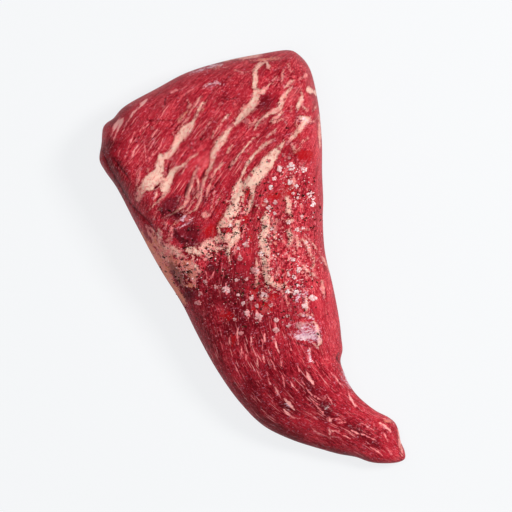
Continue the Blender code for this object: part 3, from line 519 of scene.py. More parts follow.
# Soft patches seen on the meat: place, half widths, turn in degrees (0 to the right, 90 up), amount.
patches = {
    # Tone: the meat's own lighter and darker patches, and with them painted shade on the rims and flanks that
    # turn away from the key light, and painted highlights on the right side and along the right rim.
    "tone": (
        ((328, 305), (50, 10), 98, 0.5), ((312, 140), (30, 8), 90, 0.4), ((323, 408), (13, 8), 130, -0.6),
        ((357, 431), (14, 7), 150, -0.5), ((288, 408), (10, 8), 130, -0.45),
        ((308, 385), (12, 7), 110, -0.45), ((376, 445), (12, 6), 150, -0.5), ((323, 357), (9, 9), 0, 0.6),
        ((302, 312), (9, 6), 0, 0.5), ((264, 183), (6, 5), 0, 0.5), ((291, 172), (12, 8), 0, 0.5),
        ((122, 108), (10, 6), 30, -0.5), ((113, 122), (7, 6), 60, -0.6), ((313, 265), (6, 9), 0, 0.5),
        ((319, 138), (3, 30), 0, 0.6), ((200, 158), (9, 5), 25, 0.5), ((304, 107), (4, 5), 0, 0.4),
        ((298, 121), (3, 3), 0, -0.7), ((293, 152), (8, 5), 0, -0.4), ((303, 236), (4, 4), 0, 0.4),
        ((268, 275), (6, 8), 0, 0.4), ((190, 293), (6, 8), 0, -0.3), ((211, 267), (6, 6), 0, -0.5),
        ((218, 314), (9, 8), 0, 0.5), ((283, 54), (9, 4), 0, 0.4), ((145, 156), (8, 8), 0, 0.3),
        ((193, 89), (8, 5), 20, 0.3), ((291, 235), (6, 11), 0, 0.5), ((265, 101), (9, 11), 0, -0.5),
        ((243, 92), (9, 6), 10, 0.5), ((200, 160), (12, 6), 25, 0.3), ((222, 96), (14, 9), 25, -0.3),
        ((188, 145), (10, 8), 60, -0.35), ((168, 142), (6, 10), 60, 0.4), ((292, 95), (6, 10), 110, 0.5),
        ((110, 145), (7, 22), 110, -0.4), ((232, 128), (7, 8), 60, -0.3), ((208, 138), (6, 12), 60, -0.3),
        ((205, 162), (18, 8), 35, 0.5), ((300, 102), (14, 22), 0, 0.35), ((240, 140), (30, 24), 0, 0.2),
        ((298, 255), (20, 34), 0, 0.55), ((268, 240), (12, 40), 0, 0.5), ((205, 360), (60, 16), 122, -0.22),
        ((250, 415), (60, 20), 128, -0.26), ((256, 388), (28, 13), 128, -0.22), ((235, 378), (6, 5), 0, 0.3),
        ((400, 456), (5, 6), 0, 0.6), ((290, 440), (40, 14), 140, -0.5), ((220, 310), (34, 46), 0, -0.5),
        ((232, 275), (26, 20), 0, -0.4), ((255, 320), (40, 34), 0, -0.45), ((285, 380), (46, 36), 0, -0.5),
        ((345, 425), (46, 26), 150, -0.35), ((112, 165), (30, 10), 110, -0.5),
        ((128, 200), (36, 10), 122, -0.4), ((190, 220), (30, 26), 0, -0.3), ((345, 456), (44, 8), 160, -0.5),
        ((225, 105), (36, 22), 25, -0.15), ((262, 105), (14, 12), 40, -0.25), ((185, 285), (12, 22), 0, -0.3),
        ((392, 452), (9, 9), 0, 0.5),
    ),
    "streaks": (
        ((150, 145), (42, 44), 0, 0.7), ((235, 150), (46, 40), 0, 0.6), ((190, 195), (30, 34), 0, 0.7),
        ((240, 142), (26, 22), 0, 0.4), ((205, 120), (20, 20), 0, 0.3), ((230, 270), (24, 20), 0, 0.4),
        ((250, 350), (40, 26), 0, 0.7), ((300, 400), (60, 34), 135, 0.5), ((365, 430), (30, 22), 150, 0.65),
        ((240, 395), (75, 20), 128, 0.7), ((300, 80), (20, 20), 0, 0.5), ((335, 375), (16, 20), 0, 0.6),
    ),
    "specks": (
        ((232, 320), (36, 30), 0, 1.0), ((215, 285), (20, 14), 0, 0.6), ((295, 215), (24, 46), 0, 0.8),
        ((290, 270), (30, 34), 0, 0.9), ((290, 75), (24, 16), 0, 0.7), ((220, 85), (26, 10), 20, 0.4),
        ((335, 365), (18, 22), 0, 0.7), ((365, 430), (22, 12), 160, 0.7), ((215, 255), (26, 16), 0, 0.6),
        ((185, 275), (14, 20), 0, 0.7), ((255, 100), (30, 14), 30, 0.3), ((290, 165), (20, 20), 0, 0.5),
        ((235, 142), (40, 34), 0, 0.4), ((150, 135), (36, 34), 0, 0.3), ((292, 120), (20, 40), 0, 0.3),
        ((185, 215), (24, 20), 0, 0.4),
    ),
    "blood": (
        ((305, 155), (8, 6), 0, 1.3), ((276, 196), (10, 6), 0, 0.9), ((289, 187), (5, 8), 0, 0.8),
        ((210, 230), (9, 6), 20, 1.0), ((226, 230), (4, 3), 0, 1.0), ((228, 316), (6, 5), 0, 0.8),
        ((232, 336), (4, 6), 0, 0.7), ((263, 307), (10, 6), 0, 0.9), ((253, 292), (5, 4), 0, 0.7),
        ((172, 272), (3, 3), 0, 1.0), ((279, 281), (3, 3), 0, 0.9), ((248, 193), (3, 8), 20, 0.8),
        ((245, 218), (4, 5), 0, 0.6), ((250, 238), (4, 12), 0, 0.4), ((272, 296), (8, 5), 0, 0.6),
        ((296, 200), (6, 6), 0, 0.5), ((315, 205), (5, 8), 0, 0.5), ((216, 208), (4, 12), 30, 0.4),
    ),
    # Painted shade in the dent, the hollows and crevices, and at the tail's lower edge.
    "paintedShade": (
        ((181, 236), (12, 11), 15, 0.8), ((194, 230), (10, 12), 30, 0.6), ((172, 203), (15, 8), 25, 0.75),
        ((174, 216), (9, 4), 15, 0.6), ((196, 243), (8, 4), 0, 0.6), ((175, 216), (9, 6), 0, 0.7),
        ((163, 209), (9, 7), 20, 0.55), ((190, 243), (10, 4), 0, 0.5), ((172, 202), (9, 6), 0, 0.45),
        ((190, 294), (8, 8), 20, 0.6), ((175, 271), (13, 4), -62, 1.4), ((162, 244), (2.5, 6), 20, 0.5),
        ((180, 280), (4, 5), 0, 0.5), ((213, 268), (7, 12), 0, 0.35), ((160, 183), (7, 5), 0, 0.4),
        ((149, 184), (5, 4), 0, 0.2), ((163, 172), (4, 6), 0, 0.2), ((182, 132), (4, 6), 0, 0.25),
        ((108, 158), (6, 14), 110, 0.4), ((365, 458), (30, 5), 165, 0.4),
    ),
    # The silvery membrane, and painted highlights where it and the meat's edges catch the light.
    "membraneSheen": (
        ((305, 334), (13, 6), 0, 0.85), ((304, 325), (12, 5), 0, 0.45), ((315, 338), (6, 8), 0, 0.4),
        ((299, 294), (10, 8), 0, 0.4), ((345, 380), (4, 9), 60, 0.3), ((302, 118), (8, 7), 0, 0.35),
        ((208, 68), (16, 3), 15, 0.15), ((213, 84), (9, 3), 10, 0.5),
    ),
    "calm": (
        ((265, 101), (9, 12), 0, 0.9), ((243, 92), (9, 6), 10, 0.7), ((200, 160), (12, 6), 25, 0.9),
        ((184, 178), (6, 11), 100, 0.8), ((245, 268), (12, 17), 0, 0.8), ((214, 267), (7, 11), 0, 0.7),
        ((191, 292), (9, 9), 0, 0.8), ((322, 306), (7, 26), 95, 0.8), ((313, 140), (6, 10), 0, 0.4),
        ((214, 226), (9, 7), 20, 0.8), ((118, 150), (8, 15), 110, 0.6), ((168, 140), (5, 10), 60, 0.7),
        ((235, 128), (6, 9), 60, 0.5), ((252, 150), (6, 9), 60, 0.5), ((228, 182), (7, 8), 60, 0.6),
        ((166, 172), (5, 6), 0, 0.5), ((268, 342), (10, 6), 0, 0.4), ((285, 392), (16, 9), 110, 0.6),
        ((322, 388), (9, 13), 120, 0.5), ((300, 425), (16, 9), 135, 0.5), ((382, 448), (14, 7), 140, 0.5),
        ((335, 410), (11, 7), 120, 0.5), ((190, 232), (12, 8), 0, 0.6), ((150, 112), (12, 5), 0, 0.4),
        ((300, 130), (12, 10), 0, 0.3), ((290, 350), (14, 6), 0, 0.4), ((330, 345), (6, 12), 0, 0.5),
    ),
    "crumbs": (
        ((222, 240), (16, 11), 0, 0.55), ((212, 252), (15, 8), 0, 0.55), ((190, 249), (9, 6), 0, 0.5),
        ((172, 252), (14, 12), 40, 0.5), ((187, 272), (10, 17), 0, 0.75), ((266, 236), (8, 28), 0, 0.55),
        ((268, 272), (9, 15), 0, 0.6), ((282, 215), (9, 20), 0, 0.45), ((300, 248), (14, 12), 0, 0.15),
        ((306, 268), (10, 14), 0, 0.1), ((300, 196), (10, 12), 0, 0.4), ((238, 210), (9, 22), 20, 0.7),
        ((264, 296), (6, 8), 0, 0.6), ((296, 292), (13, 12), 0, 0.4), ((160, 238), (8, 10), 0, 0.4),
        ((284, 258), (12, 24), 0, 0.45), ((302, 276), (14, 12), 0, 0.35), ((277, 287), (14, 8), 0, 0.5),
        ((262, 206), (10, 8), 0, 0.5),
    ),
}


def tint(red, green, blue):
    # A colour as it looks on a screen, 0 to 255, made linear for a shader.
    shares = [c / 255 for c in (red, green, blue)]
    return tuple(c / 12.92 if c <= 0.04045 else ((c + 0.055) / 1.055) ** 2.4 for c in shares) + (1.0,)


def station(table, at):
    # A smooth value between the stations of a table.
    places, values = np.array(table).T
    slope = np.gradient(values, places)
    k = np.clip(np.searchsorted(places, at) - 1, 0, len(places) - 2)
    span = places[k + 1] - places[k]
    t = (at - places[k]) / span
    rise = values[k + 1] - values[k]
    start = slope[k] * span - rise
    end = rise - slope[k + 1] * span
    return values[k] + rise * t + t * (1 - t) * ((1 - t) * start + t * end)


def smooth(value):
    value = np.clip(value, 0, 1)
    return value * value * (3 - 2 * value)


def closedCurve(points):
    # A centripetal curve through the points and back to the first.
    samples = []
    for i in range(len(points)):
        p = [np.array(points[(i + k) % len(points)]) for k in (-1, 0, 1, 2)]
        knots = [0.0]
        for a, b in zip(p, p[1:]):
            knots.append(knots[-1] + math.sqrt(np.linalg.norm(b - a)))
        for step in range(form["curve steps"]):
            at = knots[1] + (knots[2] - knots[1]) * step / form["curve steps"]
            level = p
            for width in (1, 2, 3):
                level = [blendAt(level[k], level[k + 1], knots, k, width, at) for k in range(4 - width)]
            samples.append(level[0])
    return np.array(samples)


def blendAt(a, b, knots, k, width, at):
    # One step of that curve, between two knots.
    low, high = (knots[1], knots[2]) if width == 3 else (knots[k], knots[k + width])
    return ((high - at) * a + (at - low) * b) / (high - low)


def stepsOf(points):
    return np.linalg.norm(np.diff(points, axis=0), axis=1)


def sharesAlong(points):
    steps = stepsOf(points)
    return np.concatenate([[0.0], np.cumsum(steps)]) / steps.sum()


def resampled(points, shares):
    # Points at the given shares of an open line's length.
    along = sharesAlong(points)
    return np.stack([np.interp(shares, along, points[:, axis]) for axis in (0, 1)], axis=-1)


def outlineSides():
    # The outline's four sides: left and right from the tail up, tail and broad end from the left.
    runs = (form["right side"], form["tail end"], form["left side"], form["broad end"])
    curve = closedCurve([point for run in runs for point in run])
    curve -= (curve.min(axis=0) + curve.max(axis=0)) / 2
    starts = np.cumsum([0] + [len(run) * form["curve steps"] for run in runs])
    curve = np.concatenate([curve, curve[:1]])
    right, tail, left, broad = (curve[a:b + 1] for a, b in zip(starts, starts[1:]))
    return left, right[::-1], tail[::-1], broad


def distanceTo(route, x, y):
    # From each point to the nearest place on a route.
    best = np.full(np.shape(x), np.inf)
    for (ax, ay), (bx, by) in zip(route, route[1:]):
        dx, dy = bx - ax, by - ay
        t = np.clip(((x - ax) * dx + (y - ay) * dy) / (dx * dx + dy * dy), 0, 1)
        best = np.minimum(best, np.hypot(x - ax - t * dx, y - ay - t * dy))
    return best


def edgeField(x, y, outline, widths):
    # How far in from the outline each point is, the rounding's width there, and the way out.
    middles = (outline[1:] + outline[:-1]) / 2
    steps = stepsOf(outline)
    pullPower = form["edge pull"]
    straight = math.sqrt(math.pi) * math.gamma(pullPower / 2) / math.gamma((pullPower + 1) / 2)
    inside, width, out = np.zeros(len(x)), np.zeros(len(x)), np.zeros((len(x), 2))
    for start in range(0, len(x), skin["block"]):
        part = slice(start, start + skin["block"])
        dx = middles[:, 0] - x[part, None]
        dy = middles[:, 1] - y[part, None]
        reach = np.maximum(np.sqrt(dx * dx + dy * dy), steps / 2)
        pull = steps / reach ** (pullPower + 1)
        total = pull.sum(axis=1)
        true = distanceTo(outline, x[part], y[part])
        soft = (total / straight) ** (-1 / pullPower)
        share = smooth(true / form["near edge"])
        inside[part] = true + (soft - true) * share
        width[part] = pull @ ((widths[1:] + widths[:-1]) / 2) / total
        pull /= reach
        out[part] = np.stack([(pull * dx).sum(axis=1), (pull * dy).sum(axis=1)], axis=-1) / total[:, None]
    return inside, width, out


def bump(x, y, at, size, turn):
    # 1 at a place, falling away smoothly over an oval.
    angle = math.radians(turn)
    dx, dy = x - at[0], y - at[1]
    along = (dx * math.cos(angle) + dy * math.sin(angle)) / size[0]
    across = (dy * math.cos(angle) - dx * math.sin(angle)) / size[1]
    return np.exp(-along ** 2 - across ** 2)


def waves(table, x, y):
    # Long even waves, added up.
    total = np.zeros(np.shape(x))
    for pitch, turn, start, height in table:
        angle = math.radians(turn)
        total += height * np.sin(2 * math.pi * (x * math.cos(angle) + y * math.sin(angle)) / pitch + start)
    return total


def mainRelief(x, y):
    # What the CAD solid has on top of its plain rounded form.
    height = np.zeros(np.shape(x))
    for at, size, turn, rise in form["swells"]:
        height += rise * bump(x, y, at, size, turn)
    for width, rise, route in form["seams"]:
        height += rise * np.exp(-(distanceTo(route, x, y) / width) ** 2)
    bundles = form["bundles"]
    grain = math.radians(bundles["grain"])
    strands = np.sin(2 * math.pi * (y * math.cos(grain) - x * math.sin(grain)) / bundles["pitch"])
    height += bundles["height"] * strands * bump(x, y, bundles["at"], bundles["size"], bundles["grain"])
    return height + waves(form["waves"], x, y)


def fullnessAt(share):
    # How high the rounded profile is at a share of the rounding's width, from 0 at the edge to 1.
    return np.sqrt(1 - (1 - np.clip(share, 0, 1)) ** form["rounding power"])


def evenShares(count, width, ends, rises):
    # Shares of a width that are evenly far apart along the rounded profile over it.
    fine = (1 - np.cos(np.linspace(0, math.pi, skin["profile steps"]))) / 2
    profile = np.zeros(len(fine))
    for distance, rounding, rise in zip((fine * width, (1 - fine) * width), ends, rises):
        profile -= rise * (1 - fullnessAt(distance / rounding))
    length = sharesAlong(np.stack([fine * width, profile], axis=-1))
    return np.interp(np.linspace(0, 1, count + 1), length, fine)


def upperFace(rowShares, columnShares):
    # Rows of points from the tail end, each from the left, with what the edge field says of them.
    left, right, tail, broad = outlineSides()
    outline = np.concatenate([left, broad[1:], right[::-1][1:], tail[::-1][1:]])
    widths = np.concatenate([
        station(form["left rounding"], sharesAlong(left)),
        np.full(len(broad) - 1, form["broad rounding"]),
        station(form["right rounding"], sharesAlong(right))[::-1][1:],
        np.full(len(tail) - 1, form["tail rounding"]),
    ])
    length = (stepsOf(left).sum() + stepsOf(right).sum()) / 2
    u = rowShares(length)
    leftEdge, rightEdge = resampled(left, u), resampled(right, u)
    places = []
    for row, share in enumerate(u):
        v = columnShares(share, np.linalg.norm(rightEdge[row] - leftEdge[row]))
        across = np.outer(1 - v, leftEdge[row]) + np.outer(v, rightEdge[row])
        along = (1 - share) * resampled(tail, v) + share * resampled(broad, v)
        corners = (
            np.outer((1 - share) * (1 - v), tail[0]) + np.outer((1 - share) * v, tail[-1])
            + np.outer(share * (1 - v), broad[0]) + np.outer(share * v, broad[-1])
        )
        places.append(across + along - corners)
    columns = len(places[0])
    x, y = np.concatenate(places).T
    inside, width, out = edgeField(x, y, outline, widths)
    crown = np.repeat(station(form["crown"], u), columns)
    waist = form["waist share"] * crown * (1 + waves(form["waist waves"], x, y))
    return {
        "x": x, "y": y, "crown": crown, "waist": waist, "fullness": fullnessAt(inside / width), "out": out,
        "stations": np.repeat(u, columns), "shape": (len(u), columns),
    }


def inwardFrom(ring):
    # Directions in from a ring, each square to a long chord, so that they turn gently round a corner.
    looped = np.concatenate([ring, ring[:1]])
    shares = sharesAlong(looped)[:-1]
    reach = form["corner reach"] / stepsOf(looped).sum()
    chord = resampled(looped, (shares + reach) % 1) - resampled(looped, (shares - reach) % 1)
    return np.stack([-chord[:, 1], chord[:, 0]], axis=-1) / np.linalg.norm(chord, axis=1)[:, None]


def ripple(seed, a, b):
    # Smooth noise from -1 to 1 over two coordinates.
    size = skin["lattice"]
    lattice = np.random.default_rng(seed).uniform(-1, 1, (size, size))
    i, j = np.floor(a).astype(int), np.floor(b).astype(int)
    s, t = smooth(a - i), smooth(b - j)
    i, j, afterI, afterJ = i % size, j % size, (i + 1) % size, (j + 1) % size
    low = lattice[i, j] * (1 - s) + lattice[afterI, j] * s
    high = lattice[i, afterJ] * (1 - s) + lattice[afterI, afterJ] * s
    return low * (1 - t) + high * t


def ragged(kind, x, y):
    # How far an edge is pushed in or out at each place.
    layers = enumerate(skin[kind], start=skin["seeds"]["ragged"])
    return sum(reach * ripple(seed, x / size, y / size) for seed, (size, reach) in layers)


def flowOf(x, y):
    # Across and along the fibres, which all follow one bent line.
    steps = np.arange(skin["grain"][0][0], skin["grain"][-1][0] + 1.0)
    angle = np.radians(station(skin["grain"], steps))
    bend = np.concatenate([[0.0], np.cumsum((1 / np.tan(angle))[:-1])])
    length = np.concatenate([[0.0], np.cumsum((1 / np.sin(angle))[:-1])])
    return x - np.interp(y, steps, bend), np.interp(y, steps, length)


def seenFrom(x, y, z):
    # Where the photo shows a point, in its pixels.
    roll = math.radians(photo["roll"])
    dx, dy = x - photo["over"][0], y - photo["over"][1]
    scale = (photo["height"] - photo["waist"]) / (photo["height"] - z) / photo["pixel"]
    right = dx * math.cos(roll) + dy * math.sin(roll)
    up = dy * math.cos(roll) - dx * math.sin(roll)
    return photo["middle"] + right * scale, photo["middle"] - up * scale


def wandered(x, y):
    # Seen places nudged about, so that drawn edges run unevenly.
    seedX, seedY = skin["seeds"]["wander"]
    for k, (size, reach) in enumerate(skin["wander"]):
        x, y = (x + reach * ripple(seedX + k, x / size, y / size),
                y + reach * ripple(seedY + k, x / size, y / size))
    return x, y


def strandField(strands, x, y):
    # How far inside the nearest strand each seen point is, in pixels, and that strand's tone.
    reach = skin["field reach"]
    field, tones = np.full(len(x), -reach), np.zeros(len(x))
    for tone, route in strands:
        for (ax, ay, aw), (bx, by, bw) in zip(route, route[1:]):
            near = np.flatnonzero(
                (x > min(ax, bx) - 2 * reach) & (x < max(ax, bx) + 2 * reach)
                & (y > min(ay, by) - 2 * reach) & (y < max(ay, by) + 2 * reach)
            )
            dx, dy = bx - ax, by - ay
            t = np.clip(((x[near] - ax) * dx + (y[near] - ay) * dy) / (dx * dx + dy * dy), 0, 1)
            value = (aw + (bw - aw) * t) / 2 - np.hypot(x[near] - ax - t * dx, y[near] - ay - t * dy)
            closer = value > field[near]
            field[near[closer]] = value[closer]
            tones[near[closer]] = tone
    return field, tones


def routeField(routes, x, y):
    # The same for routes that have no tone.
    return strandField([(0, route) for route in routes], x, y)[0]


def patchField(name, x, y):
    # The soft patches of one kind, added up.
    total = np.zeros(len(x))
    for at, size, turn, amount in patches[name]:
        total += amount * bump(x, y, at, size, -turn)
    return np.clip(total, -1, 1)


def coordsOf(mesh):
    flat = np.zeros(len(mesh.vertices) * 3)
    mesh.vertices.foreach_get("co", flat)
    return flat.reshape(-1, 3)


def setAttribute(mesh, name, values):
    kind = "FLOAT" if values.ndim == 1 else "FLOAT_VECTOR"
    field = "value" if values.ndim == 1 else "vector"
    mesh.attributes.new(name, kind, "POINT").data.foreach_set(field, values.astype(np.float32).ravel())


def columnRounding(share):
    return tuple(float(station(form[side], share)) for side in ("left rounding", "right rounding"))


def fineRows(length):
    rises = [(1 - form["waist share"]) * form["crown"][end][1] for end in (0, -1)]
    return evenShares(skin["rows"], length, (form["tail rounding"], form["broad rounding"]), rises)


def fineColumns(share, width):
    rise = (1 - form["waist share"]) * float(station(form["crown"], share))
    return evenShares(skin["columns"], width, columnRounding(share), (rise, rise))


def drawFields(x, y, flatX, flatY, drop):
    # How far inside fat, flecks, creases and the silvery membrane with its painted highlight each seen place
    # is, in pixels, the tones there, and the painted shadow beside the fat.
    strands, thin = ([strand for group in table.values() for strand in group] for table in (fat, flecks))
    drawnX, drawnY = wandered(x, y)
    wild = ragged("ragged", flatX, flatY) * smooth(drop / skin["ragged by"])
    ends = wild - skin["steep fade"] * np.clip(drop - skin["steep from"], 0, None)
    fatField, fatTone = strandField(strands, drawnX, drawnY)
    besideVein = -routeField(veins, drawnX, drawnY)
    fatField = np.minimum(fatField, skin["vein cut"] * besideVein - skin["vein margin"])
    held = strandField(fat["rim"], drawnX, drawnY)[0] + skin["held ragged"] * wild
    fatField = np.maximum(fatField + ends, held)
    for seed, (size, reach) in enumerate(skin["swelling"], start=skin["seeds"]["swelling"]):
        fatField += reach * ripple(seed, x / size, y / size) * smooth(fatField / skin["swelling edge"] + 0.5)
    fleckField, fleckTone = strandField(thin, (x + drawnX) / 2, (y + drawnY) / 2)
    shiftX, shiftY = skin["strand shadow shift"]
    # A painted shadow beside each strand of fat, shifted away from the key light.
    strandShadow = strandField(strands, drawnX + shiftX, drawnY + shiftY)[0]
    return {
        "fat": fatField, "fatTone": fatTone, "fleck": fleckField + ends, "fleckTone": fleckTone,
        "strandShadow": strandShadow - skin["strand shadow under fat"] * np.clip(fatField, 0, None),
        "crease": routeField(creases, drawnX, drawnY), "silverSheen": routeField(silverSheen, drawnX, drawnY),
    }


def extrudeSides(mesh, ring, edge, ringFlat, tuck):
    # Rows of faces from the upper face's edge down to the base, tucked in. For each new point this gives the
    # ring's point that it hangs from, its place with the side unrolled, and how far down the side it is.
    inward = inwardFrom(edge[:, :2])
    wobbleSize, wobbleRows = skin["wobble size"]
    where = {tuple(place): key for key, place in enumerate(coordsOf(mesh)[ring])}
    owners, flats, depths = [], [], []
    for row in range(1, skin["side rows"] + 1):
        known = len(mesh.vertices)
        bpy.ops.object.mode_set(mode="EDIT")
        bpy.ops.mesh.select_mode(type="EDGE")
        if row == 1:
            bpy.ops.mesh.select_all(action="SELECT")
            bpy.ops.mesh.region_to_loop()
        bpy.ops.mesh.extrude_edges_move()
        bpy.ops.object.mode_set(mode="OBJECT")
        coords = coordsOf(mesh)
        keys = np.array([where[tuple(place)] for place in coords[known:]])
        angle = math.pi / 2 * row / skin["side rows"]
        wobbleX, wobbleY = ringFlat.T / wobbleSize
        wobble = 1 + ripple(skin["seeds"]["wobble"], wobbleX, wobbleY + row / wobbleRows)
        inset = tuck * (1 - math.cos(angle)) + skin["side wobble"] * wobble * math.sin(2 * angle)
        lower = np.empty_like(edge)
        lower[:, :2] = edge[:, :2] + inward * inset[:, None]
        lower[:, 2] = edge[:, 2] * (1 - math.sin(angle)) if row < skin["side rows"] else 0.0
        coords[known:] = lower[keys] * meatScale
        mesh.vertices.foreach_set("co", coords.ravel())
        mesh.update()
        where = {tuple(place): key for key, place in zip(keys, coordsOf(mesh)[known:])}
        depth = edge[:, 2] - lower[:, 2] + inset
        owners.append(keys)
        flats.append((ringFlat - inward * depth[:, None])[keys])
        depths.append(depth[keys])
    return np.concatenate(owners), np.concatenate(flats), np.concatenate(depths)


def buildMeat():
    face = upperFace(fineRows, fineColumns)
    x, y, fullness, out = face["x"], face["y"], face["fullness"], face["out"]
    body = face["crown"] - face["waist"]
    drop = (1 - fullness) * body * skin["unroll"]
    flatX, flatY = x + out[:, 0] * drop, y + out[:, 1] * drop
    across, along = flowOf(flatX, flatY)
    relief = mainRelief(x, y)
    seenX, seenY = seenFrom(x, y, face["waist"] + (body + relief) * fullness)
    fields = drawFields(seenX, seenY, flatX, flatY, drop)
    for seed, (width, reach, rise) in enumerate(skin["ridges"], start=skin["seeds"]["ridges"]):
        relief += rise * ripple(seed, across / width, along / reach)
    for seed, (size, rise) in enumerate(skin["lumps"], start=skin["seeds"]["lumps"]):
        relief += rise * ripple(seed, flatX / size, flatY / size)
    relief += skin["fat rise"] * smooth(fields["fat"] / skin["soft edge"] + 0.5)
    relief -= skin["crease depth"] * smooth(fields["crease"] / skin["soft edge"] + 0.5)
    height = face["waist"] + (body + relief) * fullness
    height -= skin["top squash"] * np.clip(height - skin["top from"], 0, None)
    print("meat: upper face", face["shape"], "top", round(height.max(), 2))

    # The grid's own points, put in the order of the face's rows and moved to their places.
    rows, columns = face["shape"]
    bpy.ops.object.select_all(action="DESELECT")
    bpy.ops.mesh.primitive_grid_add(x_subdivisions=columns - 1, y_subdivisions=rows - 1, size=1.0)
    meat = bpy.context.object
    meat.name = "beef"
    mesh = meat.data
    coords = coordsOf(mesh)
    order = np.lexsort((np.round(coords[:, 0], 5), np.round(coords[:, 1], 5)))
    points, flat = np.stack([x, y, height], axis=-1), np.stack([flatX, flatY], axis=-1)
    coords[order] = points * meatScale
    mesh.vertices.foreach_set("co", coords.ravel())

    grid = np.arange(rows * columns).reshape(rows, columns)
    ring = np.concatenate([grid[0, :-1], grid[:-1, -1], grid[-1, :0:-1], grid[:0:-1, 0]])
    tuck = station(form["tuck"], face["stations"][ring])
    owners, sideFlat, sideDepth = extrudeSides(mesh, order[ring], points[ring], flat[ring], tuck)
    bpy.ops.object.mode_set(mode="EDIT")
    bpy.ops.mesh.edge_face_add()
    bpy.ops.mesh.select_all(action="SELECT")
    bpy.ops.mesh.normals_make_consistent(inside=False)
    bpy.ops.object.mode_set(mode="OBJECT")
    print("meat: sides and base,", len(mesh.vertices), "points")

    def spread(values, fade=0.0):
        # Values of the upper face, then of the sides, which take the edge's and lose some with depth.
        whole = np.empty(len(mesh.vertices))
        whole[order] = values
        whole[len(order):] = values[ring][owners] - fade * sideDepth
        return whole

    whole = np.empty((len(mesh.vertices), 2))
    whole[order], whole[len(order):] = flat, sideFlat
    setAttribute(mesh, "flow", np.stack([*flowOf(*whole.T), np.zeros(len(whole))], axis=-1))
    pale, brown = skin["brown tones"]
    hold = skin["brown hold"] * smooth((fields["fatTone"][ring] - pale) / (brown - pale))
    fades = {"fatTone": 0.0, "fleckTone": 0.0, "silverSheen": skin["silver sheen fade"]}
    fades["fat"] = skin["side fade"] * (1 - hold[owners])
    for name, field in fields.items():
        whole = spread(field, fades.get(name, skin["side fade"]))
        if name == "fat":
            deep = smooth(sideDepth / skin["side ragged by"])
            whole[len(order):] += ragged("side ragged", *sideFlat.T) * deep
        setAttribute(mesh, name, whole)
    for name in patches:
        whole, rest = spread(patchField(name, seenX, seenY)), skin["side patches"].get(name, 0.0)
        whole[len(order):] += (rest - whole[len(order):]) * smooth(sideDepth / skin["side reach"])
        setAttribute(mesh, name, whole)
    normals = np.zeros(len(mesh.vertices) * 3)
    mesh.vertices.foreach_get("normal", normals)
    setAttribute(mesh, "upright", np.clip(normals[2::3], 0, 1))
    mesh.shade_smooth()
    return meat


class Shade:
    # One socket of a shader, with sums on it that add their own Math nodes.
    def __init__(self, tree, socket=None):
        self.tree = tree
        self.socket = socket

    def node(self, kind, settings, values, output=0):
        made = self.tree.nodes.new(kind)
        for name, value in settings.items():
            setattr(made, name, value)
        for key, value in values.items():
            if isinstance(value, Shade):
                self.tree.links.new(value.socket, made.inputs[key])
            else:
                made.inputs[key].default_value = value
        return Shade(self.tree, made.outputs[output])

    def math(self, operation, a, b=0.0, clamp=False):
        return self.node("ShaderNodeMath", {"operation": operation, "use_clamp": clamp}, {0: a, 1: b})

    def __add__(self, other):
        return self.math("ADD", self, other)

    def __sub__(self, other):
        return self.math("SUBTRACT", self, other)

    def __rsub__(self, other):
        return self.math("SUBTRACT", other, self)

    def __mul__(self, other):
        return self.math("MULTIPLY", self, other)

    __radd__ = __add__
    __rmul__ = __mul__

    def larger(self, other):
        return self.math("MAXIMUM", self, other)

    def smaller(self, other):
        return self.math("MINIMUM", self, other)

    def clipped(self):
        return self.math("ADD", self, 0.0, clamp=True)

    def step(self, low, high):
        # 0 below low, 1 above high, smooth between.
        settings = {"interpolation_type": "SMOOTHSTEP"}
        return self.node("ShaderNodeMapRange", settings, {"Value": self, "From Min": low, "From Max": high})

    def mix(self, a, b):
        # Colour a where this is 0, b where it is 1.
        return self.node("ShaderNodeMix", {"data_type": "RGBA"}, {0: self, 6: a, 7: b}, 2)

    def place(self):
        # Where a point is on the object, in mm.
        return self.node("ShaderNodeTexCoord", {}, {}, "Object").scaled(1 / mm)

    def scaled(self, *scale):
        # By one number, or by three.
        vector = scale * (3 // len(scale))
        return self.node("ShaderNodeVectorMath", {"operation": "MULTIPLY"}, {0: self, 1: vector})

    def noise(self, detail=2.0, roughness=0.5, output="Fac"):
        values = {"Vector": self, "Scale": 1.0, "Detail": detail, "Roughness": roughness}
        return self.node("ShaderNodeTexNoise", {}, values, output)

    def swayed(self, scale, reach):
        # A place pushed about by slow noise, so that lines drawn from it run unevenly.
        drift = self.scaled(*scale).noise(1.0, 0.5, "Color")
        drift = self.node("ShaderNodeVectorMath", {"operation": "SUBTRACT"}, {0: drift, 1: (0.5, 0.5, 0.5)})
        return self.node("ShaderNodeVectorMath", {"operation": "ADD"}, {0: self, 1: drift.scaled(*reach)})

    def cells(self, output, flat=False):
        settings = {"voronoi_dimensions": "2D" if flat else "3D"}
        return self.node("ShaderNodeTexVoronoi", settings, {"Vector": self, "Scale": 1.0}, output)

    def cellValue(self, flat=False):
        # A value of its own for each cell that places fall into.
        return self.node("ShaderNodeSeparateColor", {}, {0: self.cells("Color", flat)}, "Red")

    def dashes(self, across, along, size, share):
        # Short tapered dashes along the fibres, in a share of the cells: how far inside one a place is.
        place = self.scaled(across, along, 1.0)
        return (place.cellValue(True) - (1 - share)) * (size / share) - place.cells("Distance", True)

    def attribute(self, name, output="Fac"):
        return self.node("ShaderNodeAttribute", {"attribute_name": name}, {}, output)

    def bumped(self, strength):
        # A normal from heights in mm.
        return self.node("ShaderNodeBump", {}, {"Strength": strength, "Distance": 1.0, "Height": self * mm})


def newMaterial(name, constants):
    material = bpy.data.materials.new(name)
    material.use_nodes = True
    shader = material.node_tree.nodes["Principled BSDF"]
    for socket, value in constants.items():
        shader.inputs[socket].default_value = value
    return material, Shade(material.node_tree), shader


def linkTo(shader, links):
    for socket, shade in links.items():
        shade.tree.links.new(shade.socket, shader.inputs[socket])


